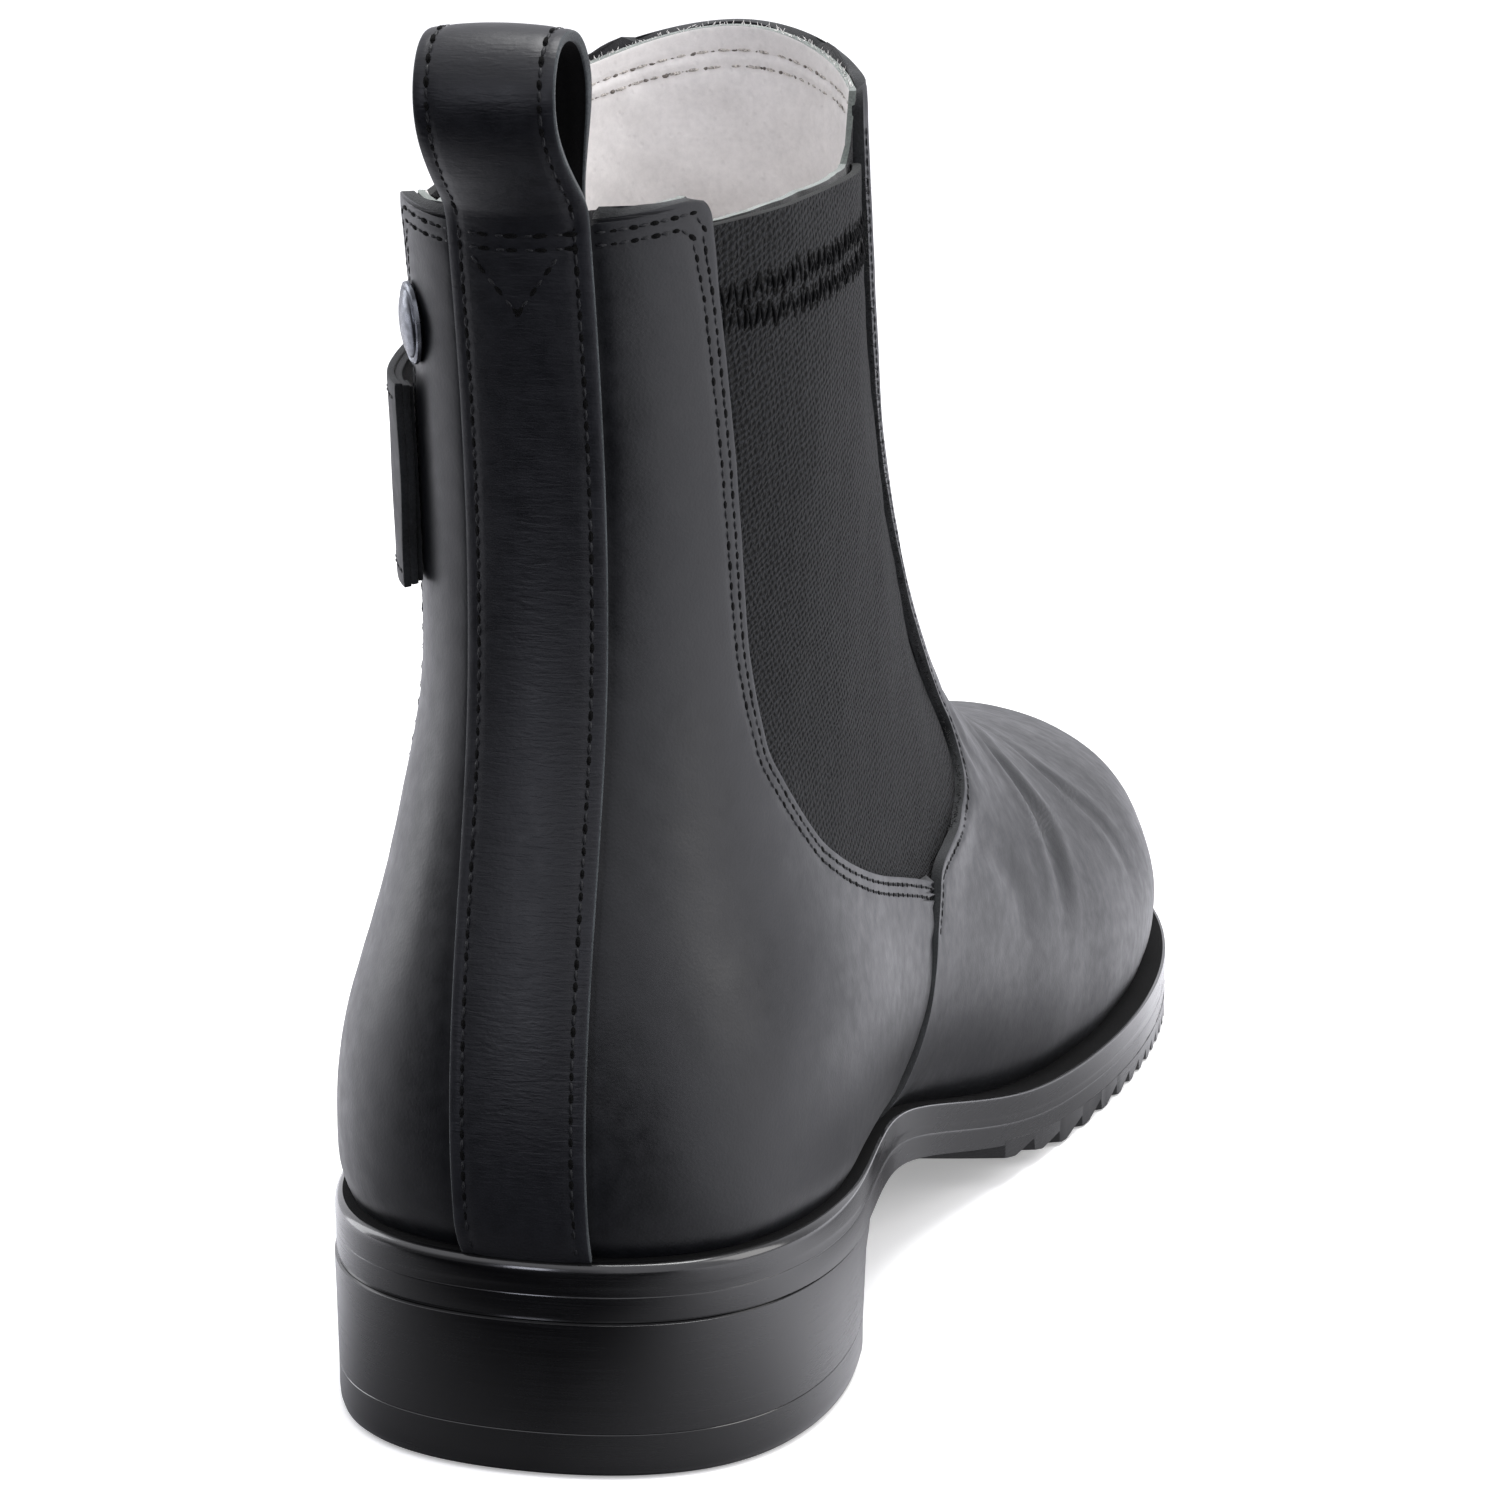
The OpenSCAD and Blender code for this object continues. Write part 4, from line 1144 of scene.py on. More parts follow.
class BOOT_OT_back_strap(BootOperator, Operator):
    """Lays the back strap, the pull loop and its tail as one ribbon that flexes at the top line."""
    bl_idname = "boot.back_strap"
    bl_label = "Back strap and pull loop"

    def execute(self, context):
        half = STRAP_W / 2
        near = np.array([0, 0.55, 0.95, 1.35, 1.75, 2.15, 2.6, 3.2, 4.0])
        x = np.concatenate([-half + near, np.linspace(-half + 4.8, half - 4.8, 13), (half - near)[::-1]])
        points, normals = ribbon(x)
        inside = half - np.abs(x)
        seam = np.exp(-((np.abs(x) - half + 1.9) / 0.55) ** 2)[None]
        relief = -0.16 * seam - 0.1 * np.exp(-inside / 0.7)[None] + 0.1 * (1 - (x / half) ** 2)[None]
        relief = relief + 0.08 * ripple(points * np.array([1, 1, 0.5]), 40, 32)
        _, across, _ = ribbon_seams()
        relief = relief + pulled_in(across, points, 0.1)
        rim = np.broadcast_to(np.exp(-inside / 0.9)[None], points.shape[:2])
        # the ribbon's back takes the darker flesh side: near black leather with painted shade inside the loop
        piece = sheet_of("back_strap_ribbon", points + normals * relief[..., None], STRAP_T,
                         ("glazed_strap_leather", "cut_strap_edge", "strap_flesh_side_painted_shade"), None, "strap_leather",
                         rim=rim, segments=3)
        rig.blend(piece, "boot", "pull_loop", **RIBBON_BLEND)
        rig.replaces(piece, "back_strap", "loop_tail", "pull_loop")
        return {"FINISHED"}


class BOOT_OT_side_strap(BootOperator, Operator):
    """Lays the side strap of two skins, sewn to the outer quarter at its back end."""
    bl_idname = "boot.side_strap"
    bl_label = "Side strap"

    def execute(self, context):
        near, near_u = NEAR[:9] / (SIDE_H / 2), NEAR[:7] / 24
        across = np.concatenate([-1 + near, np.linspace(-0.7, 0.7, 16), (1 - near)[::-1]])[:, None]
        u = np.concatenate([STRAP_FRONT_U + near_u, np.linspace(STRAP_FRONT_U + 0.35, -1.42, 80),
                            np.linspace(-1.40, -1.1, 12)])[None]
        off = (1 - np.abs(across)) * SIDE_H / 2 + 0 * u
        bend = strap_blend()
        # name, height of the face over the strap's underside, thickness, and how far its edge lies in
        skins = (("side_strap_face", SIDE_T, 0.98, 0.0), ("side_strap_backing", SIDE_T - 1.0, 0.95, 0.35))
        for name, lift, thick, inset in skins:
            face = strap_grid(u, across * (1 - inset / (SIDE_H / 2)), lift)
            relief = 0.10 * ripple(face, 22, 41) - 0.12 * np.exp(-off / 0.7)
            if not inset:
                relief = relief + pulled_in([strap_seam()], face, 0.1)
            piece = sheet_of(name, face + outward(u, strap_v(u)) * relief[..., None], thick, SIDE_SKINS, None,
                             "strap_leather", edge=0.28, rim=np.exp(-off / 1.0))
            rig.blend(piece, "boot", "side_strap", **bend)
            if not inset:
                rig.replaces(piece, "side_strap")
        # the pad under the sewn end carries the strap's thickness down to the quarter
        u = np.linspace(-1.35, -1.13, 12)[None]
        pad = sheet_of("side_strap_pad", strap_grid(u, across * 0.95, 0.0), 0.75, SIDE_SKINS, "boot",
                       "strap_leather", edge=0.2)
        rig.replaces(pad, "side_strap_base")
        return {"FINISHED"}


def drawn_up(piece, count=1):
    """Extrudes the whole piece upwards count times, one unit each, and returns its points."""
    bpy.ops.object.mode_set(mode="EDIT")
    bpy.ops.mesh.select_all(action="SELECT")
    for _ in range(count):
        bpy.ops.mesh.extrude_region_move(TRANSFORM_OT_translate={"value": (0, 0, 1)})
    bpy.ops.object.mode_set(mode="OBJECT")
    return np.array([p.co for p in piece.data.vertices])


def facing_out(piece):
    only(piece)
    bpy.ops.object.mode_set(mode="EDIT")
    bpy.ops.mesh.select_all(action="SELECT")
    bpy.ops.mesh.normals_make_consistent(inside=False)
    bpy.ops.object.mode_set(mode="OBJECT")


def turned(name, profile, u, v, height, stretch=1.0):
    """A round metal part: a disc drawn up ring by ring to its profile, laid on the last with its face
    outwards. profile is (radius, height) from the rim inwards to the middle."""
    rest()
    bpy.ops.mesh.primitive_circle_add(vertices=64, radius=1, fill_type="NGON")
    piece = named(name)
    co = drawn_up(piece, len(profile) - 1)
    angle = np.arctan2(co[:, 1], co[:, 0])
    radius, rise = np.array([profile[k] for k in np.rint(co[:, 2]).astype(int)]).T
    local = np.stack([radius * np.cos(angle) * stretch, radius * np.sin(angle), rise], 1)
    z = outward(u, v)
    x = unit(np.cross(last(u, v)[2], z))
    set_points(piece, lifted(u, v, height) + local @ np.stack([x, np.cross(z, x), z]))
    facing_out(piece)
    smooth_faces(piece, 35)
    return piece


def domed(rim, rise):
    """A profile that goes on from its rim over a dome of height rise."""
    radius, base = rim[-1]
    return rim + [(radius * math.cos(a), base + rise * math.sin(a)) for a in np.linspace(0.08, 1.5, 14)]


class BOOT_OT_studs(BootOperator, Operator):
    """Turns the oval stud on the quarter and the press stud's cap on the side strap."""
    bl_idname = "boot.studs"
    bl_label = "Studs"

    def execute(self, context):
        # a plain oval dome with a beaded rim
        dome = domed([(5.2, 0), (5.5, 0.25), (5.45, 0.7), (5.1, 0.85), (4.75, 0.7), (4.55, 0.75)], 0.95)
        stud = turned("oval_stud_dome", dome, -1.04, 7.2, 0.0, stretch=0.72)
        dress(stud, "boot", "gunmetal", "gunmetal_plating")
        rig.replaces(stud, "oval_stud")
        cap = domed([(5.6, 0), (6.0, 0.25), (6.0, 0.55), (5.75, 0.8), (5.3, 0.85), (5.1, 0.78)], 1.3)
        snap = turned("snap_cap_dome", cap, SNAP_U, strap_v(SNAP_U), strap_under(SNAP_U) + SIDE_T + 0.05)
        dress(snap, "side_strap", "gunmetal", "gunmetal_plating")
        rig.replaces(snap, "snap_cap")
        for node in ("snap_socket", "snap_stud"):
            refinish(node, "gunmetal_plating")
        return {"FINISHED"}


# ------------------------------------------------------------------ the bottom

def margin(y):
    """How far the sole stands out beyond the feather line at y."""
    return mix(1.1, 3.4, smooth((y - 40) / 70))


def rim_at(u, out, rise):
    """Points beside the feather line, moved outwards and upwards by so many millimetres."""
    place, along, _ = last(u, np.zeros_like(u))
    way = unit(np.stack([along[:, 1], -along[:, 0], np.zeros(len(u))], 1))
    out, rise = np.asarray(out, float)[..., None], np.asarray(rise, float)[..., None]
    return place + way * out + np.array([0, 0, 1]) * rise


def ring_solid(name, rings, caps):
    """A solid of stacked rings: a circle drawn up once for each ring, then each ring put in its place.
    caps pairs the ring's points across both ends."""
    n = len(rings[0])
    rest()
    bpy.ops.mesh.primitive_circle_add(vertices=n, radius=1, fill_type="NOTHING")
    piece = named(name)
    co = drawn_up(piece, len(rings) - 1)
    level = np.rint(co[:, 2]).astype(int)
    turn = np.rint(np.arctan2(-co[:, 0], co[:, 1]) / (2 * math.pi / n)).astype(int) % n
    set_points(piece, np.stack(rings)[level, turn])
    place = {(a, b): i for i, (a, b) in enumerate(zip(level, turn))}
    mesh = bmesh.new()
    mesh.from_mesh(piece.data)
    mesh.verts.ensure_lookup_table()
    for layer in (0, len(rings) - 1):
        for a, b in zip(caps[:-1], caps[1:]):
            corners = dict.fromkeys(place[layer, k % n] for k in (a[0], a[1], b[1], b[0]))
            if len(corners) > 2:
                mesh.faces.new([mesh.verts[k] for k in corners])
    bmesh.ops.recalc_face_normals(mesh, faces=mesh.faces)
    mesh.to_mesh(piece.data)
    mesh.free()
    return piece


RING_N = 264


def full_ring(extra, rise, heel=None):
    """A ring round the whole sole; heel gives the place that it eases to round the back of the heel."""
    u = 12 * np.arange(RING_N) / RING_N
    y = last(u, 0 * u)[0][:, 1]
    back = 1 - smooth((y + 12) / 34)
    heel = heel or (extra, rise)
    return rim_at(u, margin(y) + mix(extra, heel[0], back), mix(rise, heel[1], back))


RING_CAPS = [(k, RING_N - k) for k in range(RING_N // 2 + 1)]
RIB_SLOPE, FIRST_RIB_Y = 0.87, 57.0


class BOOT_OT_sole(BootOperator, Operator):
    """Builds the rand and the outsole with its ribbed tread."""
    bl_idname = "boot.sole"
    bl_label = "Sole"

    def execute(self, context):
        # the top edge is buffed round at the heel and left crisp from the waist forwards
        rand = ring_solid("rand_rubber", [full_ring(*ring) for ring in (
            (-1.6, -0.45, (-1.6, -0.4)), (-0.5, -0.45, (-1.05, -0.45)), (-0.2, -0.46, (-0.7, -0.58)),
            (-0.12, -0.48, (-0.42, -0.78)), (-0.06, -0.52, (-0.2, -1.06)), (-0.02, -0.58, (-0.07, -1.42)),
            (0, -0.68, (-0.01, -1.85)), (0, -1.0, (0, -2.3)), (0, -3.5), (-0.02, -3.65, (-0.01, -3.65)),
            (-0.1, -3.9, (-0.04, -3.9)), (-0.16, -4.2, (-0.07, -4.2)), (-0.18, -5.0, (-0.09, -5.0)))], RING_CAPS)
        smooth_faces(rand, 42)
        dress(rand, "boot", "sole_rubber", "moulded_sole_rubber", "matt_corner_rubber")
        for face in rand.data.polygons:
            level = [k // RING_N for k in face.vertices]
            # the buffing wheel leaves the corner under the upper matt
            face.material_index = int(max(level) <= 1)
        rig.replaces(rand, "midsole_rand")
        sole = ring_solid("outsole_rubber", [full_ring(*ring) for ring in (
            (-0.6, -5.02), (-0.17, -5.02, (-0.1, -5.02)), (-0.15, -5.1, (-0.08, -5.05)),
            (-0.11, -5.28, (-0.08, -5.28)), (-0.09, -5.55, (-0.08, -5.55)), (-0.08, -5.9), (-0.08, -8.4),
            (-0.1, -8.52), (-0.2, -8.59), (-0.8, -8.6))], RING_CAPS)
        smooth_faces(sole, 42)
        dress(sole, "boot", "sole_rubber", "moulded_sole_rubber")
        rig.replaces(sole, "outsole")
        self.cleats()
        return {"FINISHED"}

    def cleats(self):
        """Saw-toothed tread: ribs run in a wide V whose arms reach forward to both edges. A grid is laid
        along the ribs, one row for each change of height, and drawn up into the sole."""
        edges = []
        for u in (np.linspace(10.4, 6, 400), np.linspace(1.6, 6, 400)):
            line = rim_at(u, margin(last(u, 0 * u)[0][:, 1]) - 0.06, np.full(400, -RAND_H - OUTSOLE_T))
            edges.append(line[np.argsort(line[:, 1])])
        left, right = edges

        def at(line, y, axis):
            return np.interp(y, line[:, 1], line[:, axis])
        a, i, stations = FIRST_RIB_Y, 0, []
        while a < left[-1, 1] - 0.3 - CLEAT_PITCH:
            pitch = CLEAT_PITCH * (1.4 + 0.85 * (1 - smooth(i / 10)))
            stations += [(a, CLEAT_H if i else 0), (a + 0.03 * pitch, 0.12 if i else 0), (a + 0.08 * pitch, 0),
                         (a + 0.3 * pitch, 0), (a + 0.36 * pitch, 0.1)]
            a, i = a + pitch, i + 1
        middle_y, up = np.array(stations + [(a, CLEAT_H)]).T
        middle_x = (at(left, middle_y, 0) + at(right, middle_y, 0)) / 2
        reach = np.linspace(0, 70, 701)
        ends = []
        for line, way in ((left, -1), (right, 1)):
            gap = (at(line, middle_y[:, None] + RIB_SLOPE * reach, 0) - middle_x[:, None]) * way - reach
            ends.append(reach[np.argmax(gap <= 0, axis=1)])
        half = 14       # columns to either side of the middle
        share = np.linspace(0, 1, half + 1)
        across = np.concatenate([-ends[0][:, None] * share[::-1], ends[1][:, None] * share[1:]], axis=1)
        x, y = middle_x[:, None] + across, middle_y[:, None] + RIB_SLOPE * np.abs(across)
        side = np.clip((x - at(left, y, 0)) / np.maximum(at(right, y, 0) - at(left, y, 0), 0.1), 0, 1)
        web = mix(at(left, y, 2), at(right, y, 2), side)
        # the ribs stand on the ground under the ball, and lift with the sole before and behind it
        standing = smooth((y - 104) / 20) * (1 - smooth((y - 185) / 30))
        bottom = np.maximum(mix(web - CLEAT_H, 0, standing), 0) + up[:, None]
        low = np.stack([x, y, np.minimum(bottom, web + 0.5)], -1)
        rest()
        bpy.ops.mesh.primitive_grid_add(x_subdivisions=2 * half, y_subdivisions=len(up) - 1, size=1)
        piece = named("tread_cleats")
        co = drawn_up(piece)
        column = np.rint((co[:, 0] + 0.5) * 2 * half).astype(int)
        row = np.rint((co[:, 1] + 0.5) * (len(up) - 1)).astype(int)
        points = low[row, column]
        points[:, 2] = np.where(co[:, 2] > 0.5, web[row, column] + 0.9, points[:, 2])
        set_points(piece, points)
        facing_out(piece)
        smooth_faces(piece, 25)
        dress(piece, "boot", "sole_rubber", "moulded_sole_rubber")


BREAST_U, HEEL_N = 2.28, 150


def heel_ring(extra, z, follow, back):
    """A heel outline at height z, or z below the feather line, with its breast moved back."""
    u = np.linspace(-BREAST_U, BREAST_U, HEEL_N)
    p = rim_at(u, np.full(HEEL_N, margin(0) + extra), np.zeros(HEEL_N))
    p[:, 1] -= 0.8 + back * smooth((p[:, 1] - 5) / 20)
    p[:, 2] = p[:, 2] + z if follow else z
    return p


HEEL_CAPS = [(k, HEEL_N - 1 - k) for k in range(HEEL_N // 2)]


class BOOT_OT_heel(BootOperator, Operator):
    """Builds the heel block and the top piece that it stands on."""
    bl_idname = "boot.heel"
    bl_label = "Heel"

    def execute(self, context):
        top = -RAND_H - OUTSOLE_T
        block = ring_solid("heel_block_rubber", [heel_ring(*ring) for ring in (
            (-1.1, top - 0.01, True, 0), (-0.2, top - 0.02, True, 0), (-0.11, top - 0.08, True, 0.1),
            (-0.1, top - 1.2, True, 0.8), (-0.22, 16, False, 2.2), (-0.38, LIFT_T + 0.9, False, 3.4),
            (-0.4, LIFT_T + 0.14, False, 3.5), (-0.46, LIFT_T + 0.06, False, 3.5),
            (-1.0, LIFT_T + 0.05, False, 3.5))], HEEL_CAPS)
        smooth_faces(block, 35)
        dress(block, "boot", "sole_rubber", "moulded_sole_rubber")
        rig.replaces(block, "heel_block")
        lift = ring_solid("heel_top_piece", [heel_ring(*ring) for ring in (
            (-1.0, LIFT_T + 0.03, False, 3.5), (-0.46, LIFT_T + 0.02, False, 3.5),
            (-0.4, LIFT_T - 0.06, False, 3.5), (-0.42, 2.2, False, 3.5), (-0.5, 1.2, False, 3.6),
            (-0.75, 0.45, False, 3.7), (-1.3, 0, False, 4))], HEEL_CAPS)
        smooth_faces(lift, 35)
        dress(lift, "boot", "sole_rubber", "moulded_sole_rubber")
        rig.replaces(lift, "heel_lift")
        return {"FINISHED"}


class BOOT_OT_footbed(BootOperator, Operator):
    """Builds the padded footbed, dished at the heel and rounded at its edge."""
    bl_idname = "boot.footbed"
    bl_label = "Footbed"

    def execute(self, context):
        n = 168
        u = 12 * np.arange(n) / n
        base = LINING_O - LINING_T - 0.9

        def ring(inset, rise):
            return rim_at(u, np.full(n, base + inset), rise - waist_shift(u, 0))
        centre = (ring(-2, 0) + ring(-2, 0)[(-np.arange(n)) % n]) / 2

        def inner(share, rise):
            here = mix(ring(-1.6, 0), centre, share)
            here[:, 2] += rise - 0.9 * smooth((20 - here[:, 1]) / 40) * share
            return here
        rings = [inner(0.92, 6.6), inner(0.6, 6.7), inner(0.25, 7.0), ring(-1.8, 7.3), ring(-1.0, 7.2),
                 ring(-0.5, 6.8), ring(-0.4, 6.2), ring(-0.4, 4.7)]
        piece = ring_solid("footbed_cover", rings, [(k, n - k) for k in range(n // 2 + 1)])
        smooth_faces(piece, 50)
        dress(piece, "boot", "lining_leather", "pigskin_lining")
        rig.replaces(piece, "footbed")
        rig.padded(piece, fill=0.5)
        return {"FINISHED"}


# ------------------------------------------------------------------ thread

def stitch_form(length_mm, thick_mm, bow):
    """Points and faces of one stitch, modelled once: a slim capsule whose ends dive into the leather."""
    rest()
    bpy.ops.mesh.primitive_uv_sphere_add(segments=6, ring_count=4, radius=0.5)
    piece = named("stitch_form")
    co = np.array([p.co for p in piece.data.vertices])
    faces = [tuple(f.vertices) for f in piece.data.polygons]
    form = np.stack([co[:, 2] * length_mm, co[:, 1] * thick_mm, -co[:, 0] * thick_mm * 0.9], 1)
    form[:, 2] -= bow * (2 * form[:, 0] / length_mm) ** 2
    bpy.data.objects.remove(piece)
    return form, faces


def along_line(line, pitch):
    """Evenly spaced points, directions and normals on a seam."""
    points = line["points"]
    run = np.concatenate([[0], np.cumsum(np.linalg.norm(np.diff(points, axis=0), axis=1))])
    count = max(1, int(run[-1] / pitch))
    at = (np.arange(count) + 0.5) * run[-1] / count
    place = np.stack([np.interp(at, run, points[:, k]) for k in range(3)], 1)
    normal = unit(np.stack([np.interp(at, run, line["normals"][:, k]) for k in range(3)], 1))
    ends = [np.stack([np.interp(at + step, run, points[:, k]) for k in range(3)], 1) for step in (-0.4, 0.4)]
    ahead = ends[1] - ends[0]
    ahead = unit(ahead - (ahead * normal).sum(1)[:, None] * normal)
    return place, ahead, normal


def copies(name, forms, finishes):
    """One mesh of many placed forms: each is points, faces and a finish number."""
    points, faces, finish, start = [], [], [], 0
    for co, face, number in forms:
        points.append(co)
        faces += [tuple(k + start for k in f) for f in face]
        finish += [number] * len(face)
        start += len(co)
    mesh = bpy.data.meshes.new(name)
    mesh.from_pydata((np.concatenate(points) * MM).tolist(), [], faces)
    mesh.polygons.foreach_set("material_index", finish)
    mesh.polygons.foreach_set("use_smooth", [True] * len(faces))
    piece = bpy.data.objects.new(name, mesh)
    bpy.context.scene.collection.objects.link(piece)
    for one in finishes:
        mesh.materials.append(material(one))
    return piece


# a needle hole: a ring with a shallow cone over it and a floor under it, laid on the face in a dark finish as painted
# shade of the hole
HOLE = np.array([[math.cos(a), math.sin(a), 0] for a in np.linspace(0, 2 * math.pi, 8)[:-1]] + [[0, 0, 0.12]])
HOLE_FACES = [(k, (k + 1) % 7, 7) for k in range(7)] + [tuple(range(6, -1, -1))]


def settled(lines, names):
    """Seams dropped on to the finished faces of the named pieces."""
    graph = bpy.context.evaluated_depsgraph_get()
    trees = [BVHTree.FromObject(bpy.data.objects[name], graph) for name in names]
    done = []
    for line in lines:
        points = line["points"].copy()
        for k, (p, n) in enumerate(zip(line["points"], line["normals"])):
            hits = [tree.ray_cast(Vector((p + 2.5 * n) * MM), Vector(-n), 0.005) for tree in trees]
            found = [h for h in hits if h[0] is not None]
            if found:
                points[k] = np.array(min(found, key=lambda h: h[3])[0]) / MM
        done.append({**line, "points": points})
    return done


def sewn(name, lines, body, slot, seed, share, longer=0.0, thicker=0.0,
         finishes=("polyester_thread", "needle_hole_painted_shade")):
    """Stitches and needle holes along seams, with small differences from stitch to stitch. The thread covers
    a share of each stitch, which is longer and thicker than the set one by so many millimetres."""
    thread_set = bpy.context.scene.boot_thread
    pitch, thick = thread_set.pitch / MM + longer, thread_set.thick / MM + thicker
    form, faces = stitch_form(pitch * share, thick, 0.18)
    draw = np.random.default_rng(seed)
    forms = []
    for line in lines:
        for place, ahead, normal in zip(*along_line(line, pitch)):
            turn = draw.normal(0, 0.05)
            side = np.cross(normal, ahead)
            ahead_now = unit(ahead + side * turn)
            axes = np.stack([ahead_now, np.cross(normal, ahead_now), normal])
            shape = form * np.array([draw.uniform(0.9, 1.08), draw.uniform(0.88, 1.1), 1])
            forms.append((place + shape @ axes + normal * draw.normal(0, 0.02), faces, 0))
            # the needle hole, a dark disc of painted shade, fills the gap up to the next length of thread
            hole = HOLE * np.array([(1 - share) * pitch / 2 + 0.1, 0.34, 0.5]) * draw.uniform(0.85, 1.1)
            forms.append((place + ahead * pitch / 2 + hole @ axes + normal * 0.03, HOLE_FACES, 1))
    piece = copies(name, forms, finishes)
    if body:
        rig.ride(piece, body)
    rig.slot(piece, slot)
    return piece


def bars(name, lines, body, seed):
    """The tall zigzag that gathers the elastic: steep legs of thread, up and down in turn."""
    form, faces = stitch_form(2.6, 0.62, 0.3)
    draw = np.random.default_rng(seed)
    forms = []
    for line in lines:
        for k, (place, ahead, normal) in enumerate(zip(*along_line(line, 1.25))):
            up = np.cross(normal, ahead)
            lean = (0.24 if k % 2 else -0.2) + draw.normal(0, 0.1)
            way = unit(up + ahead * lean)
            axes = np.stack([way, np.cross(normal, way), normal])
            shape = form * np.array([draw.uniform(0.6, 1.3), draw.uniform(0.8, 1.2), 1])
            shift = up * draw.normal(0, 0.35) + ahead * draw.normal(0, 0.12)
            forms.append((place + shape @ axes + shift + normal * draw.uniform(0.05, 0.3), faces, 0))
            for end in (-1, 1):
                # a dark disc of painted shade at each end of the leg, for its needle hole
                hole = HOLE * np.array([0.55, 0.4, 0.5]) * draw.uniform(0.7, 1.2)
                forms.append((place + way * end * 1.35 + shift + hole @ axes + normal * 0.03, HOLE_FACES, 1))
    piece = copies(name, forms, ("gather_thread", "needle_hole_painted_shade"))
    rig.ride(piece, body)
    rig.slot(piece, "elastic")
    return piece


def lining_seams():
    """Two rows under the rim, round the front of the shaft and on both sides of the back seam."""
    rows = []
    for start, end, count in ((4.1, 7.9, 200), (0.5, 1.0, 40), (-0.5, -1.0, 40)):
        for down in LINING_ROWS:
            u, v = np.linspace(start, end, count), np.full(count, TOP - down / ROW_MM)
            line = line_on(u, v, lining_height(u, v) - LINING_T - 0.02)
            rows.append({"points": line["points"], "normals": -line["normals"]})
    return rows


def gather_seams():
    """Two rows across each gore, near its top."""
    u = np.linspace(1.3, 3.72, 160)
    rise = np.interp(u, [1.3, 3.5, 3.72], [7.33, 7.13, 7.12])
    return [line_on(side * u, rise - drop / ROW_MM, gore_height(u, rise - drop / ROW_MM) + 0.05)
            for side in (1, -1) for drop in GATHER_ROWS]


class BOOT_OT_stitching(BootOperator, Operator):
    """Sews every seam: each stitch is a short piece of thread beside its needle hole."""
    bl_idname = "boot.stitching"
    bl_label = "Stitching"

    def execute(self, context):
        quarters = ("quarter_leather_inner", "quarter_leather_outer")
        rows = settled(quarter_seams(False) + quarter_seams(True), quarters)
        sewn("quarter_stitching", rows, "boot", "black_leather", 51, 0.6)
        sewn("vamp_stitching", settled(vamp_seams(), ("vamp_leather",)), "boot", "black_leather", 52, 0.6)
        edges, across, legs = (settled(rows, ("back_strap_ribbon",)) for rows in ribbon_seams())
        strap = sewn("strap_stitching", edges, None, "strap_leather", 53, 0.58, 0.1, 0.06)
        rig.blend(strap, "boot", "pull_loop", **RIBBON_BLEND)
        cross = sewn("strap_cross_stitching", across, None, "strap_leather", 54, 0.42, 0.2)
        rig.blend(cross, "boot", "pull_loop", **RIBBON_BLEND)
        sewn("strap_v_stitching", legs, "boot", "strap_leather", 55, 0.5)
        rows = settled([strap_seam()], ("side_strap_face",))
        side = sewn("side_strap_stitching", rows, None, "strap_leather", 56, 0.58, 0.1, 0.06)
        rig.blend(side, "boot", "side_strap", **strap_blend())
        rows = settled(lining_seams(), ("lining_pigskin_front", "lining_pigskin_rear"))
        sewn("lining_stitching", rows, "boot", "lining_leather", 57, 0.74, 0.1, 0.05,
             ("undyed_thread", "pigskin_hole_painted_shade"))
        rows = settled(gather_seams(), ("gore_webbing_inner", "gore_webbing_outer"))
        bars("gore_gather_stitching", rows, "boot", 58)
        return {"FINISHED"}


def frayed(name, lines, per_mm, long, thick, finish, slot, seed, rise):
    """Loose fibres along cut edges: thin spikes bent every way, seeded."""
    draw = np.random.default_rng(seed)
    forms = []
    faces = [(0, 1, 3), (1, 2, 3), (2, 0, 3), (0, 2, 1)]
    r = thick / 2
    for line in lines:
        run = np.linalg.norm(np.diff(line["points"], axis=0), axis=1).sum()
        for place, forward, normal in zip(*along_line(line, run / max(2, int(run * per_mm)))):
            way = unit(normal * rise + draw.normal(0, 0.6, 3) + forward * draw.normal(0, 0.7))
            side = unit(np.cross(way, forward + 0.01))
            other = np.cross(way, side)
            base = place + draw.normal(0, 0.18, 3)
            size = long * draw.uniform(0.4, 1.2)
            spike = [base + side * r, base - side * r * 0.5 + other * r * 0.87,
                     base - side * r * 0.5 - other * r * 0.87, base + way * size]
            forms.append((np.array(spike), faces, 0))
    piece = copies(name, forms, (finish,))
    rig.ride(piece, "boot")
    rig.slot(piece, slot)
    return piece


class BOOT_OT_fibres(BootOperator, Operator):
    """Adds the loose fibres of the raw lining edge and of the elastic beside the vamp."""
    bl_idname = "boot.fibres"
    bl_label = "Loose fibres"

    def execute(self, context):
        u = np.linspace(3.95, 8.05, 200)
        rim = line_on(u, lining_top(u), lining_height(u, lining_top(u)) - 0.75)
        rim["normals"] = np.zeros_like(rim["normals"]) + np.array([0, 0, 1.0])
        frayed("lining_edge_fibres", [rim], 3.2, 0.8, 0.16, "pigskin_lining", "lining_leather", 61, rise=0.9)
        v = np.linspace(2.9, 7.4, 260)
        elastic = [line_on(side * (vamp_line(v) - 0.01), v, -0.9) for side in (1, -1)]
        frayed("gore_edge_fibres", elastic, 4.0, 0.9, 0.16, "elastic_cut_edge", "elastic", 62, rise=0.6)
        return {"FINISHED"}


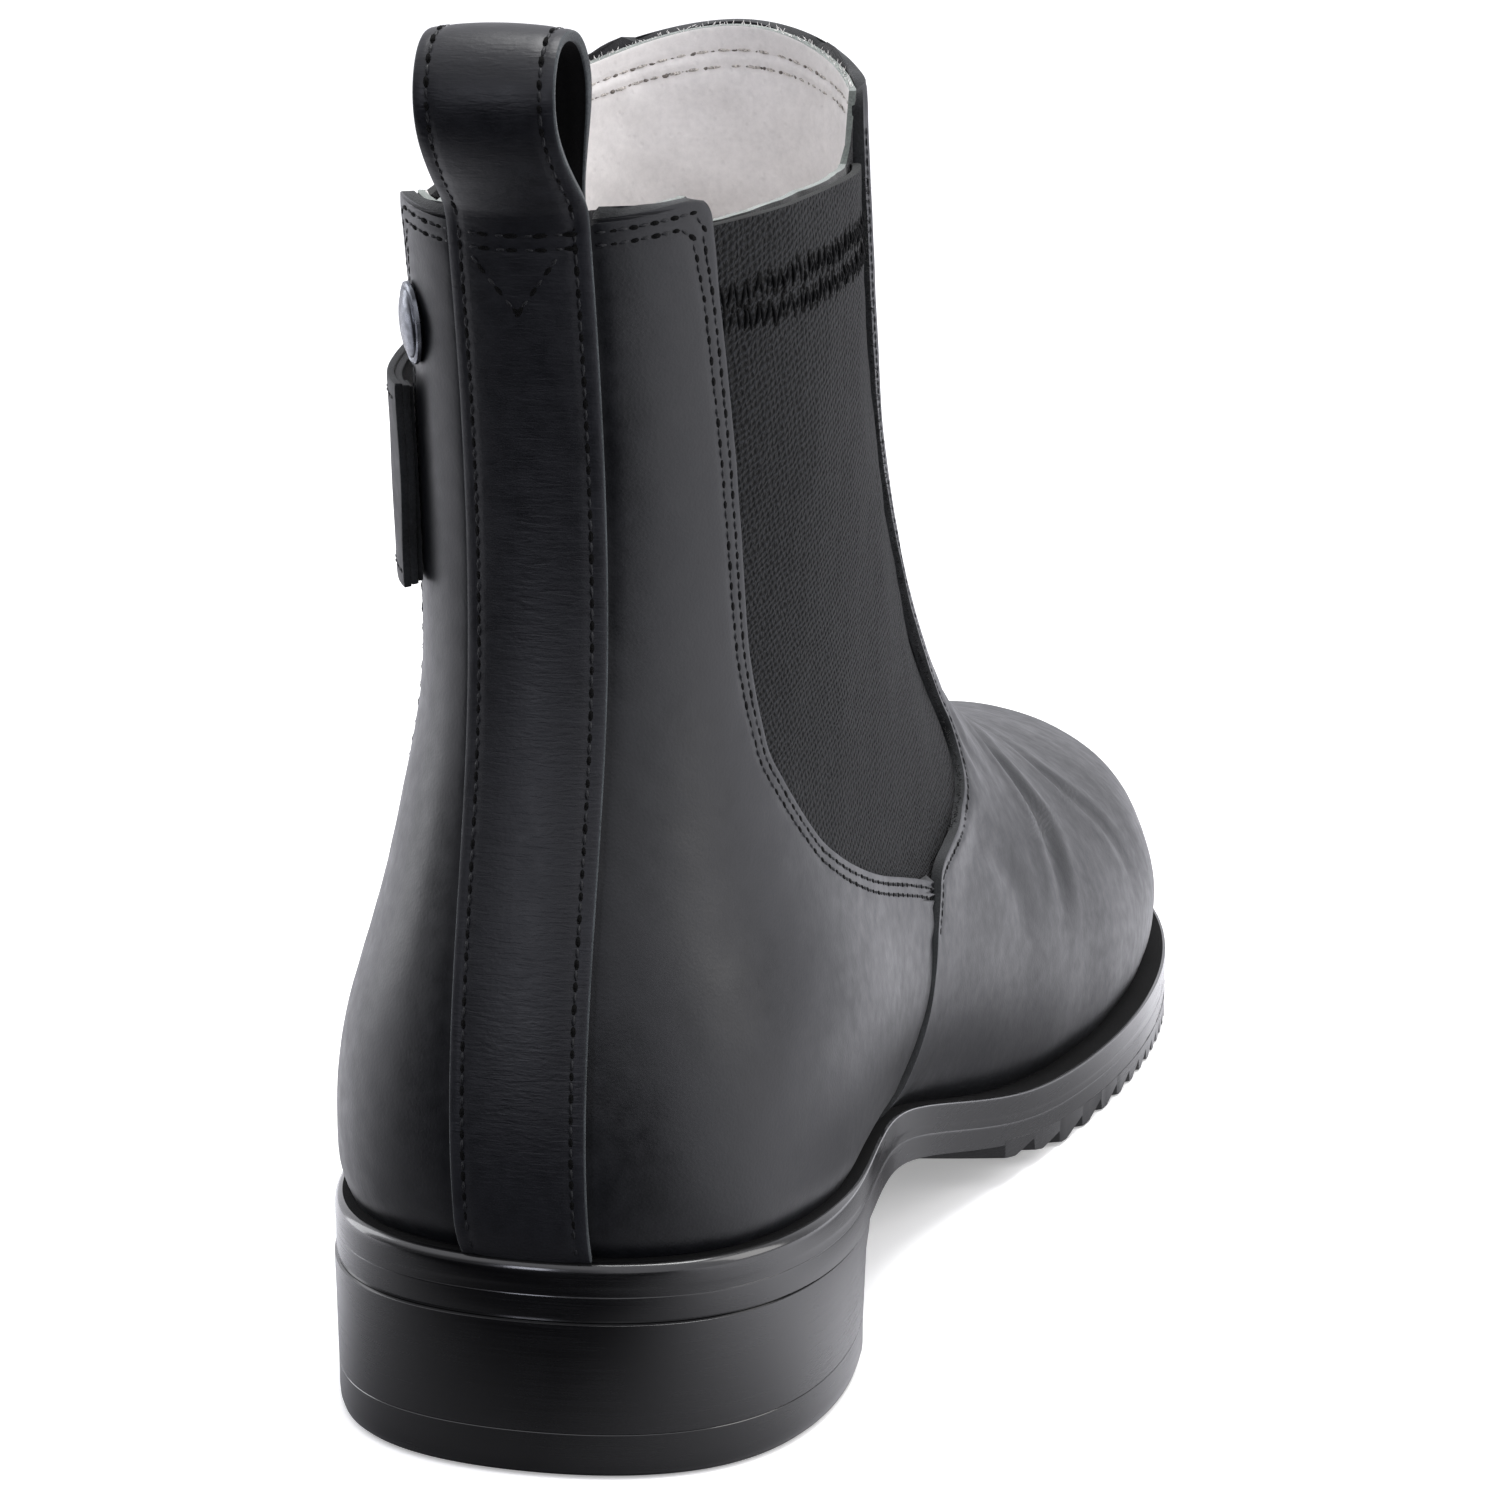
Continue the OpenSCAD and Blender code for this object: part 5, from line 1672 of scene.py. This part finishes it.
class BOOT_OT_inner_finishes(BootOperator, Operator):
    """Gives the hidden parts of the bottom and the stiffeners their own materials."""
    bl_idname = "boot.inner_finishes"
    bl_label = "Inner finishes"

    def execute(self, context):
        for node, finish in (("heel_counter", "leatherboard"), ("toe_puff", "leatherboard"),
                             ("insole_board", "cellulose_board"), ("forefoot_filler", "pressed_cork"),
                             ("shank", "spring_steel")):
            refinish(node, finish)
        return {"FINISHED"}


# ------------------------------------------------------------------ the stage

def softbox(name, place, aim, size, power, tint):
    rest()
    bpy.ops.object.light_add(type="AREA", location=place)
    lamp = bpy.context.object
    lamp.name = lamp.data.name = name
    lamp.data.shape, lamp.data.size, lamp.data.size_y = "RECTANGLE", size[0], size[1]
    lamp.data.energy, lamp.data.color = power, linear(tint)
    lamp.rotation_euler = (Vector(aim) - Vector(place)).to_track_quat("-Z", "Y").to_euler()
    return lamp


def vinyl_floor():
    """White sheet vinyl, matt: it shows almost white to the camera; to all other rays it is painted dark in front of
    the boot and darker still under it, a painted shadow that the boot's sides mirror darker near the heel as painted
    reflection.
    """
    made, tree, shader = new_finish("white_vinyl_floor", Roughness=0.6, Specular_IOR_Level=0.0)
    place = add(tree, "TexCoord").outputs["Object"]
    seen = ramp(tree, noise(tree, place, 3.0, 2.0), (0.3, "#f7f7f7"), (0.7, "#fbfbfb"))
    across = add(tree, "SeparateXYZ", {"Vector": place})
    right = maths(tree, "MULTIPLY_ADD", across.outputs["X"], 1.05, across.outputs["Y"])
    left = maths(tree, "MULTIPLY_ADD", across.outputs["X"], -0.4, across.outputs["Y"])
    away = maths(tree, "MAXIMUM", left, right)
    # painted shade: to all rays but the camera's the floor is dark in front of the boot and pale behind and beside it,
    # and the boot's sides show it as painted reflection
    front = ranged(tree, away, -0.09, 0.13, interpolation_type="SMOOTHSTEP")
    painted_reflection_floor = ramp(tree, front, (0.0, "#161618"), (1.0, "#e4e4e8"))
    # painted shadow: darker still on the floor close round the boot
    aside = add(tree, "VectorMath", {0: place, 1: (0.062, 0.108, 0.0)}, operation="DISTANCE").outputs["Value"]
    under = ranged(tree, aside, 0.02, 0.12, 0.25, 1.0, interpolation_type="SMOOTHSTEP")
    painted_shadow_and_reflection = blended(tree, under, (0, 0, 0, 1), painted_reflection_floor)
    camera_ray = add(tree, "LightPath").outputs["Is Camera Ray"]
    tree.links.new(blended(tree, camera_ray, painted_shadow_and_reflection, seen), shader.inputs["Base Color"])
    glow = add(tree, "Emission", {"Color": (1, 1, 1, 1), "Strength": 0.32})
    both = add(tree, "AddShader", {0: shader.outputs[0], 1: glow.outputs[0]})
    pick = add(tree, "MixShader", {0: camera_ray, 1: shader.outputs[0], 2: both.outputs[0]})
    tree.links.new(pick.outputs[0], tree.nodes["Material Output"].inputs["Surface"])
    return made


def white_tent(scene):
    """A white tent round the boot, with a dark opening behind the heel."""
    world = bpy.data.worlds.new("studio_tent")
    scene.world = world
    world.use_nodes = True
    tree = world.node_tree
    tree.nodes.clear()
    way = add(tree, "SeparateXYZ", {"Vector": add(tree, "TexCoord").outputs["Generated"]})
    # the bearing is 0 towards the heel's back, and grows to the right
    bearing = maths(tree, "ARCTAN2", way.outputs["X"], maths(tree, "MULTIPLY", way.outputs["Y"], -1.0))
    left = ranged(tree, bearing, -1.67, -1.27, interpolation_type="SMOOTHSTEP")
    right = ranged(tree, bearing, 0.3, -0.05, interpolation_type="SMOOTHSTEP")
    low = ranged(tree, way.outputs["Z"], 0.6, 0.2, interpolation_type="SMOOTHSTEP")
    shadow = maths(tree, "MULTIPLY", maths(tree, "MULTIPLY", left, right), low)
    dark = ranged(tree, shadow, 0.0, 1.0, 1.0, 0.16)
    # a dimmer stretch of wall between the lights on the right
    past = maths(tree, "MULTIPLY", maths(tree, "ADD", bearing, -2.15), 3.2)
    seam = maths(tree, "ADD", maths(tree, "MULTIPLY", past, past), 1.0)
    wall = maths(tree, "SUBTRACT", 1.0, maths(tree, "DIVIDE", 0.42, seam))
    level = maths(tree, "MULTIPLY", dark, wall)
    around = add(tree, "Background", {"Color": (*linear("#f4f4fa"), 1), "Strength": level})
    white = add(tree, "Background", {"Color": (1, 1, 1, 1), "Strength": 1.0})
    camera_ray = add(tree, "LightPath").outputs["Is Camera Ray"]
    pick = add(tree, "MixShader", {0: camera_ray, 1: around.outputs[0], 2: white.outputs[0]})
    tree.links.new(pick.outputs[0], add(tree, "OutputWorld").inputs["Surface"])


class BOOT_OT_stage(BootOperator, Operator):
    """Sets the pale floor, the soft lights round it and the camera behind the heel."""
    bl_idname = "boot.stage"
    bl_label = "Stage"

    def execute(self, context):
        scene = context.scene
        stage = scene.boot_stage
        rest()
        bpy.ops.mesh.primitive_grid_add(x_subdivisions=8, y_subdivisions=8, size=6, location=(0, 0, -0.0003))
        floor = named("studio_floor")
        floor.data.materials.append(vinyl_floor())
        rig.stage(floor)
        white_tent(scene)
        softbox("right_softbox", (1.1, 0.1, 0.7), (0.0, 0.05, 0.08), (0.8, 1.1), stage.key, "#fffdfb")
        softbox("left_softbox", (-1.2, 0.35, 0.5), (0.0, 0.05, 0.08), (0.6, 1.1), stage.fill, "#fbfcff")
        softbox("top_softbox", (0.15, 0.1, 1.3), (0.0, 0.05, 0.1), (0.7, 0.7), stage.top, "#ffffff")
        softbox("rear_strip", (-0.38, -1.5, 0.26), (0.0, -0.03, 0.1), (0.3, 0.4), stage.strip, "#eef0ff")
        bpy.ops.object.camera_add(location=(0.1654, -0.5768, 0.234))
        camera = bpy.context.object
        camera.name = camera.data.name = "rear_camera"
        camera.data.lens, camera.data.sensor_width = 109.9, 36.0
        camera.data.clip_start, camera.data.clip_end = 0.02, 20
        pitch, turn = math.radians(13.5), math.radians(13.97)
        look = Vector((-math.sin(turn) * math.cos(pitch), math.cos(turn) * math.cos(pitch), -math.sin(pitch)))
        camera.rotation_euler = look.to_track_quat("-Z", "Y").to_euler()
        scene.camera = camera
        scene.view_settings.view_transform = "Standard"
        return {"FINISHED"}


class BOOT_PT_boot(Panel):
    bl_idname = "BOOT_PT_boot"
    bl_label = "Rider's ankle boot"
    bl_space_type = "VIEW_3D"
    bl_region_type = "UI"
    bl_category = "Boot"

    def draw(self, context):
        for step in STEPS:
            self.layout.operator(step.bl_idname)
        for group in ("boot_leather", "boot_thread", "boot_elastic", "boot_sole", "boot_stage"):
            settings = getattr(context.scene, group)
            box = self.layout.box()
            for key in settings.__annotations__:
                box.prop(settings, key)


GROUPS = {"boot_leather": BootLeather, "boot_thread": BootThread, "boot_elastic": BootElastic,
          "boot_sole": BootSole, "boot_stage": BootStage}
STEPS = (BOOT_OT_vamp, BOOT_OT_quarters, BOOT_OT_gores, BOOT_OT_lining, BOOT_OT_back_strap, BOOT_OT_side_strap,
         BOOT_OT_studs, BOOT_OT_sole, BOOT_OT_heel, BOOT_OT_footbed, BOOT_OT_stitching, BOOT_OT_fibres,
         BOOT_OT_inner_finishes, BOOT_OT_stage)


def register():
    for name, group in GROUPS.items():
        bpy.utils.register_class(group)
        setattr(bpy.types.Scene, name, PointerProperty(type=group))
    for one in (*STEPS, BOOT_PT_boot):
        bpy.utils.register_class(one)


def unregister():
    for one in reversed((*STEPS, BOOT_PT_boot)):
        bpy.utils.unregister_class(one)
    for name, group in GROUPS.items():
        delattr(bpy.types.Scene, name)
        bpy.utils.unregister_class(group)


def main():
    register()
    for step in STEPS:
        area, call = step.bl_idname.split(".")
        getattr(getattr(bpy.ops, area), call)()
    with open("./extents.json", "w") as out:
        json.dump({"cad": [list(c) for c in CAD_BOX], "visual": [list(c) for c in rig.bounds()]}, out)


if __name__ == "__main__":
    main()
